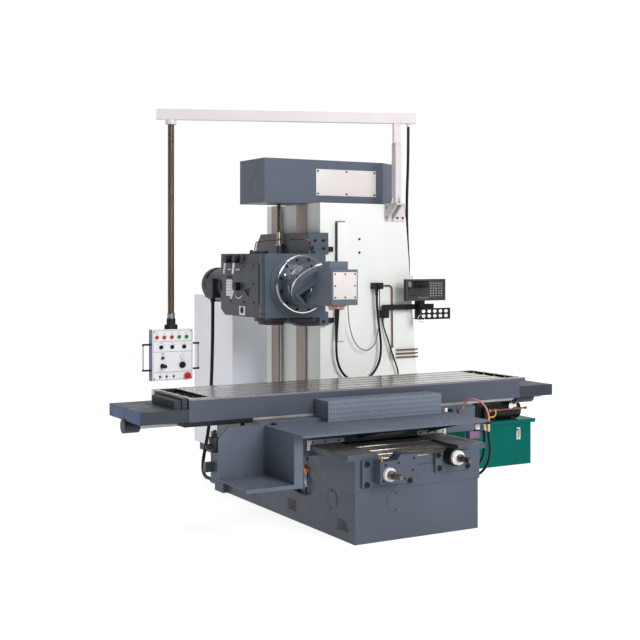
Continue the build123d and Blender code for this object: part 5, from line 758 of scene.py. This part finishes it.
def make_bed_trim():
    """Cover discs, case screws, way-cover edges, the oil cup and the drain valve on the bed."""
    cover = [(0, 0), (52, 0), (52, 1.2), (50.5, 2.6), (47, 2.6), (46, 1.8), (0, 1.8)]
    turned((-137, -622, 189), FRONT, cover, 56)
    turned((-371, -401, 184), LEFT, cover, 56)
    piece("bed_cover_discs", "base", "grey")
    for side in (-41, 41):
        screw((-137, -623.6, 189 + side), FRONT, 3.6)
        screw((-372.6, -401, 184 + side), LEFT, 3.6)
    for x, z in CASE_SCREWS:
        screw((x, -642, z), FRONT, 11)
    for x, z in ((-251, 392), (-175, 396), (-84, 412), (-92, 355), (-140, 316), (-264, 314)):
        screw((x, -708, z), FRONT, 5)
    turned((-371, -154, 348), LEFT, [(0, 0), (13, 0), (13, 5), (10, 7), (10, 10), (0, 10)], 24)
    piece("bed_screws", "base", "black")
    for x, z in CASE_SCREWS:
        turned((x, -642, z), FRONT, [(12, 0), (17, 0), (17, 2), (16, 3), (12, 3), (12, 0)], 28)
    piece("case_washers", "base", "dark_grey")
    cup = [(0, 0), (8, 0), (8, 5), (5, 6), (5, 12), (8, 14), (8, 22), (6, 25), (0, 25)]
    turned((-258, -684, 406), UP, cup, 20)
    piece("oil_cup", "base", "brass")
    for front, top in COVER_EDGES:
        block((-236, 236), (front - 1.6, front - 0.1), (top - 7, top + 1.2), 0.5)
    piece("way_cover_edges", "base", "iron")
    block((-393, -371.2), (-172, -146), (283, 305), 3)
    turned((-384, -136, 294), UP, [(0, 0), (7, 0), (7, 16), (4, 20), (4, 26), (0, 26)], 18)
    piece("drain_valve", "base", "orange")
    turned((-384, -158, 206), UP, [(0, 0), (6, 0), (6, 14), (9, 16), (9, 54), (7, 58), (7, 77), (0, 77)], 18)
    piece("drain_tube", "base", "steel")
    run = points_x(-384, ((-158, 206), (-158, 176), (-150, 164), (-120, 160), (-20, 168), (120, 182)))
    tube(centreline("drain_pipe_path", run), 6, 12)
    for y, z in ((-60, 165), (80, 178)):
        block((-386, -371.2), (y - 7, y + 7), (z - 10, z + 10), 2)
    piece("drain_pipe", "base", "black")


def make_dial_marks():
    """Scale marks and a bright hub on each of the two hand-feed dials."""
    for node, centre, radius in FEED_DIALS:
        for step in range(50):
            angle = 2 * math.pi * step / 50
            out = Vector((math.cos(angle), 0, math.sin(angle)))
            side = Vector((-math.sin(angle), 0, math.cos(angle)))
            long = 9 if step % 5 == 0 else 5
            at = Vector(centre) + out * (radius + 0.3)
            near = [at - side * 0.6, at + side * 0.6]
            plate(near + [point + FRONT * long for point in reversed(near)], out * -0.6)
        piece(node + "_marks", node, "black_plastic")


def make_saddle_trim():
    """Way wipers, knobs and fittings of the saddle."""
    left = [(-434, 463), (-214, 463), (-214, 440), (-417, 440), (-417, 412), (-434, 412)]
    right = [(243, 463), (431, 463), (431, 424), (417, 424), (417, 440), (243, 440)]
    for outline in (left, right):
        plate(points_y(-255.2, outline), FRONT * 6)
    piece("way_wipers", "saddle", "dial_white")
    block((-104, 161), (-260, -255.2), (452, 468))
    piece("bronze_wiper", "saddle", "oiled")
    for x in (-405, -330, -250, 260, 310, 360, 410):
        screw((x, -261.2, 451), FRONT, 4.5)
    for x in (-90, 30, 145):
        screw((x, -260, 460), FRONT, 3.5)
    knob = [(0, 0), (6, 0), (6, 8), (11, 10), (11, 24), (9, 26), (0, 26)]
    turned((-630, -255.2, 560), FRONT, knob, 20)
    turned((456, -255.2, 560), FRONT, knob, 20)
    piece("saddle_knobs", "saddle", "black_plastic")
    block((-958, -915), (-253.8, -206), (440, 516), 4)
    turned((-958, -230, 470), LEFT, [(0, 0), (14, 0), (14, 12), (10, 15), (10, 26), (0, 26)], 20)
    turned((-936, -230, 516), UP, [(0, 0), (12, 0), (12, 16), (8, 19), (8, 34), (0, 34)], 20)
    piece("side_valve", "saddle", "black")
    block((426, 444), (-258, -255.2), (548, 573), 1)
    piece("saddle_tag", "saddle", "dial_white")
    block((-704, -360), (-186, -182.4), (574, 588), 1)
    piece("way_strip", "saddle", "oiled")


def make_hose_fittings():
    """Ferrules of the hoses and the oiler at the platform's right end."""
    ferrule = [(0, 0), (9, 0), (9, 9), (8.2, 11), (8.2, 36), (7.4, 38), (0, 38)]
    turned((419, -648, 536), -UP, ferrule, 20)
    turned((424, -608, 536), -UP, ferrule, 20)
    piece("hose_ferrules", "saddle", "pale_brass")
    turned((398, -580, 500), UP, [(0, 0), (15, 0), (16, 4), (16, 26), (13, 32), (0, 32)], 28)
    piece("oiler_cap", "saddle", "dial_white")
    turned((411, -580, 486), X, [(0, 0), (9, 0), (9, 6), (7.5, 8), (7.5, 22), (6, 24), (0, 24)], 20)
    turned((398, -580, 494.5), UP, [(0, 0), (18, 0), (18, 5), (0, 5)], 28)
    piece("oiler_nuts", "saddle", "black")


# ---------------------------------------------------------------- column, cover and pole

POLE_X = 775


def make_column_trim():
    """Scale cover, screws, the bare plate of the top cover and the pole's bolts."""
    block((375, 433), (806, 828.8), (872, 1616), 4)
    piece("scale_cover", "base", "white")
    # The thin dark strip down the scale cover's left side is painted shade; a dark strip also caps its top
    block((369, 374.5), (808, 828.8), (876, 1612), 1)
    block((371, 433), (808, 828.8), (1616.2, 1621), 1)
    piece("scale_top_and_side_shade", "base", "dark_grey")
    block((310, 757), (964, 967.8), (1788, 1956), 1)
    piece("cover_plate", "base", "plate_white")
    for x in (322, 533, 744):
        for z in (1800, 1944):
            screw((x, 964, z), FRONT, 6)
    for x, z in ((546, 1511), (546, 1426)):
        screw((x, 828.8, z), FRONT, 7)
    for x, z in ((746, 1712), (746, 1650), (827, 1650), (868, 1650)):
        screw((x, 818.8, z), FRONT, 7)
    piece("column_screws", "base", "black")
    for lean in (-1, 1):
        near, tip = POLE_X + lean * 22.2, POLE_X + lean * 40
        plate(points_y(748, ((near, 1739.2), (tip, 1739.2), (near, 1790))), Y * 6)
    plate(points_x(POLE_X, ((725.8, 1739.2), (702, 1739.2), (725.8, 1790))), X * 6)
    piece("pole_gussets", "base", "boom_white")
    for low in (2108, 1742):
        block((POLE_X - 24, POLE_X + 24), (724, 772), (low, low + 5), 1)
    piece("pole_collars", "base", "boom_white")
    turned((660, 790, 1215), FRONT, [(0, 0), (16, 0), (16, 24), (12, 28), (0, 28)], 24)
    turned((650, 786, 1195), -UP, [(0, 0), (12, 0), (12, 14), (9.5, 16), (9.5, 40), (0, 40)], 20)
    piece("hose_elbow", "base", "black_plastic")


# ---------------------------------------------------------------- head

def make_gearbox_trim():
    """Raised panel, charts, plugs and lever scales on the gearbox."""
    face = -246.2
    hole = circle((face, 925, 1220), LEFT, 27)
    pocket = points_x(face, ((849, 1203), (760, 1213), (788, 1157)))
    panel = points_x(face, ((655, 1118), (1100, 1118), (1100, 1356), (655, 1356)))
    # The raised panel and the front flange on the left face take its painted shade
    plate(panel, LEFT * 6, (hole, pocket))
    piece("gearbox_panel", "head", "gearbox_side_shade")
    block((face - 7, face), (585, 640), (1044, 1416), 3)
    block((face - 12, face), (864, 900), (1366, 1406), 3)
    piece("gearbox_flange", "head", "gearbox_side_shade")
    block((face - 8, face - 6), (1012, 1096), (1160, 1260), 0.6)
    plate(points_x(face, ((842, 1048), (922, 1048), (922, 1102), (842, 1102))), LEFT * 3)
    piece("gearbox_charts", "head", "panel_white")
    for step in range(5):
        block((face - 8.6, face - 7.8), (1018, 1090), (1172 + step * 18, 1174 + step * 18), 0.3)
    for y in (1030, 1058, 1086):
        block((face - 9, face - 6), (y - 8, y + 8), (1268, 1284), 1)
    turned((face - 3, 882, 1078), LEFT, [(0, 0), (20, 0), (20, 3), (16, 5), (14, 3), (0, 3)], 28)
    # The black triangle in the panel's triangular hole is painted shade of the deep pocket behind it
    plate(points_x(face, ((846, 1201), (764, 1210), (789, 1161))), LEFT * 2)
    piece("gearbox_marks_and_pocket_shade", "head", "black_plastic")
    for y, z, radius, half in ((1057, 1386, 62, 24), (934, 1386, 62, 24), (925, 1220, 68, 42)):
        angles = [math.radians(270 - half + step * half / 6) for step in range(13)]
        outer = [(y + (radius + 7) * math.cos(a), z + (radius + 7) * math.sin(a)) for a in angles]
        inner = [(y + radius * math.cos(a), z + radius * math.sin(a)) for a in reversed(angles)]
        plate(points_x(face - 6, outer + inner), LEFT * 1.5)
    piece("lever_scales", "head", "dial_white")
    for y, z in ((854, 1340), (720, 1342), (720, 1237), (720, 1130), (854, 1128), (1040, 1128)):
        screw((face - 6, y, z), LEFT, 5)
    for y, z in ((612, 1066), (640, 1066), (612, 1112), (640, 1112)):
        screw((face - 7 * (y < 630), y, z), LEFT, 4.5)
    plug = [(0, 0), (13, 0), (13, 14), (10, 18), (10, 24), (0, 24)]
    turned((-53, 1150, 1418), UP, plug, 24)
    turned((110, 1000, 1418), UP, plug, 24)
    block((-240, -176), (675, 775), (1418.2, 1435), 4)
    block((-244, -92), (596, 730), (1018, 1039.8), 4)
    block((-224, -106), (606, 720), (1000, 1018), 4)
    piece("gearbox_plugs", "head", "black")
    block((-40, 96), (620, 760), (1004, 1039.8), 6)
    block((30, 150), (640, 760), (984, 1004), 6)
    piece("gearbox_sump", "head", "motor")


def make_slide_trim():
    """Clamp screws, gib ends and the oil line of the head slide."""
    for x, z in ((204, 1500), (262, 1500), (262, 1450), (192, 1040), (262, 1040), (262, 1000)):
        screw((x, 790, z), FRONT, 9)
    block((298.2, 338), (797, 818), (1430, 1462), 2)
    block((298.2, 345), (797, 818), (989, 1021), 2)
    block((168, 190), (778, 790), (1440, 1466), 2)
    block((176, 200), (780, 790), (1404, 1434), 2)
    block((178, 230), (776, 790), (980, 1026), 3)
    piece("slide_screws", "head", "black")
    route = ((-105, 1000, 1418), (-105, 1000, 1470), (-92, 992, 1496), (-20, 950, 1502), (60, 870, 1506),
             (112, 806, 1509), (142, 780, 1506), (164, 775, 1492), (170, 786, 1476))
    tube(centreline("oil_line", route), 4, 10)
    turned((-105, 1000, 1418), UP, [(0, 0), (9, 0), (9, 10), (7, 12), (0, 12)], 16)
    piece("oil_line", "head", "copper")


TILT_AT = Vector((-9, 361, 1236))
TILT_DIR, TILT_UP = Vector((0, -0.70711, -0.70711)), Vector((0, -0.70711, 0.70711))


def make_swivel_trim():
    """Bright rings and bolts of the swivel, and the ribs and bare plate of the spindle carrier."""
    for step in range(12):
        angle = math.radians(15 + 30 * step)
        at = Vector((-9 + 151 * math.cos(angle), 559.6, 1236 + 151 * math.sin(angle)))
        turned(at, FRONT, [(0, 0), (8.5, 0), (8.5, 6), (7.5, 7), (4.5, 7), (4.5, 4), (0, 4)], 20)
    piece("swivel_bolts", "swivel", "black")
    turned((-121, 559.6, 1287), FRONT, [(0, 0), (17, 0), (17, 4), (14, 9), (8, 11), (0, 11)], 28)
    piece("swivel_cap", "swivel", "chrome")
    rim = [(162, 0), (173.5, 0), (173.5, 12), (169, 18), (162, 18.6), (162, 0)]
    turned((-9, 577, 1236), FRONT, rim, 72)
    piece("swivel_ring", "swivel", "polished")
    rim = [(162, 0), (169.6, 0), (169.6, 8), (166, 12), (162, 12), (162, 0)]
    turned(TILT_AT - TILT_DIR * 13, TILT_DIR, rim, 72)
    piece("tilt_ring", "swivel", "polished")
    for step in range(10):
        angle = math.radians(18 + 36 * step)
        out = X * math.cos(angle) + TILT_UP * math.sin(angle)
        screw(TILT_AT - TILT_DIR * 19 + out * 168, out, 6)
    piece("tilt_screws", "swivel", "black")
    base = TILT_AT + TILT_DIR * 26.6
    tip = base - X * 158 - TILT_UP * 40
    for up in (104, -96):
        root = base - X * 84 + TILT_UP * up
        outline = [tip, root, root + TILT_DIR * 44, tip + TILT_DIR * 20]
        across = (root - tip).cross(TILT_DIR).normalized()
        plate(outline, across * 13 * (1 if up > 0 else -1))
    piece("carrier_ribs", "carrier", "carrier")
    # A dark triangle on the carrier's side between the ribs: painted shade standing for the recess there
    outline = [base - X * 140 - TILT_UP * 32, base - X * 86 + TILT_UP * 84, base - X * 86 - TILT_UP * 78]
    plate(outline, TILT_DIR * 1.2)
    piece("carrier_recess_shade", "carrier", "motor")
    turned((-93.2, 312, 1214), LEFT, [(0, 0), (17, 0), (17, 3), (14, 7), (7, 7), (6, 5), (0, 5)], 28)
    piece("carrier_plug", "carrier", "chrome")
    block((-84, 67), (76, 78.8), (1163, 1314), 1)
    piece("carrier_plate", "carrier", "plate_white")
    for z, xs in ((1174, (-73, -8, 55)), (1238, (-73, 55)), (1303, (-73, -8, 55))):
        for x in xs:
            screw((x, 76, z), FRONT, 4.5)
    piece("carrier_screws", "carrier", "black")
    turned((-9, 171, 1130), -UP, [(46, 0), (58, 0), (58, 5), (55, 8), (46, 8), (46, 0)], 48)
    piece("nose_cover", "carrier", "copper")


# ---------------------------------------------------------------- pendant and readout

def panel_bar(right, up, wide, tall, thick=0.8):
    """A thin raised bar on the panel."""
    block((PENDANT_X + right - wide / 2, PENDANT_X + right + wide / 2),
          (PENDANT_Y - thick, PENDANT_Y - 0.05), (PENDANT_Z + up - tall / 2, PENDANT_Z + up + tall / 2), 0.3)


def make_pendant_trim():
    """Dividing lines, scale ticks, marks and corner screws of the pendant."""
    for up in (85, 20, -104):
        panel_bar(0, up, 252, 1.6)
    for side in (-128, 128):
        panel_bar(side, 0, 1.6, 300)
    for up in (-150, 150):
        panel_bar(0, up, 256, 1.6)
    for right, up, radius in ((-66, -17, 15), (63, -63, 28)):
        for step in range(11):
            angle = math.radians(225 - 27 * step)
            panel_bar(right + radius * math.cos(angle), up + radius * math.sin(angle), 2.4, 2.4)
    for right in (-105, -57, -7, 41, 90):
        panel_bar(right, 134, 16, 2)
    for right in (-76, -4, 75):
        panel_bar(right, 76, 20, 2)
        panel_bar(right - 20, 64, 7, 2)
        panel_bar(right + 20, 64, 7, 2)
    for right in (-83, -40, 7):
        panel_bar(right, -114, 10, 2)
    panel_bar(-66, 8, 24, 4)
    piece("pendant_marks", "pendant", "dark_grey")
    for right in (-122, 122):
        for up in (-144, 144):
            screw((PENDANT_X + right, PENDANT_Y, PENDANT_Z + up), FRONT, 4)
    piece("pendant_screws", "pendant", "steel")
    collar = [(22, 0), (25, 0), (25, 5), (23, 7), (23, 22), (26, 24), (26, 30), (23, 32), (22, 32), (22, 0)]
    turned((PENDANT_X, 1262.5, 1018), UP, collar, 32)
    piece("conduit_collar", "boom", "steel")


SEGMENTS = {"a": ((0, 2), (1, 2)), "b": ((1, 1), (1, 2)), "c": ((1, 0), (1, 1)), "d": ((0, 0), (1, 0)),
            "e": ((0, 0), (0, 1)), "f": ((0, 1), (0, 2)), "g": ((0, 1), (1, 1))}
DIGITS = {"0": "abcdef", "1": "bc", "2": "abged", "3": "abgcd", "4": "fgbc", "5": "afgcd"}


def make_readout_trim():
    """Bezel, window, digits and keys of the readout display, and the ring on its tray."""
    front = 690
    outline = points_y(front - 0.1, ((807, 1120), (1111, 1120), (1111, 1256), (807, 1256)))
    inside = points_y(front - 0.1, ((818, 1131), (1100, 1131), (1100, 1247), (818, 1247)))
    plate(outline, FRONT * 5, (inside,))
    piece("readout_bezel", "readout_display", "display")
    block((824, 982), (front - 2, front - 0.2), (1148, 1244), 1)
    piece("readout_window", "readout_display", "glass")
    for row, text in enumerate(("100245", "053120", "021400")):
        for place, figure in enumerate(text):
            left, low = 840 + place * 22, 1218 - row * 31
            for name in DIGITS[figure]:
                (x0, z0), (x1, z1) = SEGMENTS[name]
                x0, x1 = left + x0 * 10, left + x1 * 10
                z0, z1 = low + z0 * 8.5, low + z1 * 8.5
                block((x0 - 1, x1 + 1), (front - 2.6, front - 1.9), (z0 - 1, z1 + 1), 0.3)
    piece("readout_digits", "readout_display", "amber")
    for column in range(5):
        for row in range(6):
            block((992 + column * 21, 1005 + column * 21), (front - 3, front - 0.2),
                  (1146 + row * 16, 1155 + row * 16), 1)
    for column in range(4):
        block((910 + column * 19, 922 + column * 19), (front - 3, front - 0.2), (1134, 1143), 1)
    piece("readout_keys", "readout_display", "steel")
    angles = [2 * math.pi * step / 40 for step in range(41)]
    loop = points_y(696.5, [(930 + 24 * math.sin(a), 1006 + 24 * math.cos(a)) for a in angles])
    tube(loop, 2.2, 8)
    piece("tray_ring", "readout_arm", "chrome")


# ---------------------------------------------------------------- tank

def make_tank_trim():
    """Level glass of the oil tank, and the nuts, filter and gauge of its pump."""
    block((1714, 1748), (706, 712.8), (170, 254), 2)
    for z in (178, 246):
        turned((1731, 706, z), FRONT, [(0, 0), (8, 0), (8, 5), (7, 6), (0, 6)], 20)
    piece("level_frame", "base", "chrome")
    bar((1731, 704, 186), (1731, 704, 238), 6, 16)
    piece("level_glass", "base", "sight")
    for x in (1482, 1528, 1790):
        turned((x, 712, 379), X, [(0, 0), (11, 0), (11, 12), (9, 14), (0, 14)], 6)
    turned((1482, 712, 335), X, [(0, 0), (9, 0), (9, 12), (0, 12)], 6)
    piece("pipe_nuts", "base", "brass")
    gauge = [(0, 0), (17, 0), (17, 12), (20, 14), (20, 22), (16, 25), (15, 22), (0, 22)]
    turned((1664, 726, 400), FRONT, gauge, 28)
    block((1690, 1722), (716, 740), (385, 420), 3)
    piece("pump_gauge", "base", "chrome")
    for k in range(7):
        place = 1500 + k * 36
        turned((place, 780, 366), X, [(59, 0), (63, 0), (63, 5), (59, 5), (59, 0)], 40)
    block((1392, 1500), (716, 770), (411, 446), 4)
    block((1630, 1690), (722, 770), (424, 452), 4)
    turned((1452, 722, 420), UP, [(0, 0), (10, 0), (10, 20), (14, 22), (14, 30), (0, 30)], 20)
    piece("pump_fittings", "base", "black")


make_materials()
set_camera()
set_floor()
set_light()
make_cords()
make_conduit()
make_chain()
dress_nodes()
make_tread()
make_bed_trim()
make_dial_marks()
make_saddle_trim()
make_hose_fittings()
make_column_trim()
make_gearbox_trim()
make_slide_trim()
make_swivel_trim()
make_pendant_trim()
make_readout_trim()
make_tank_trim()
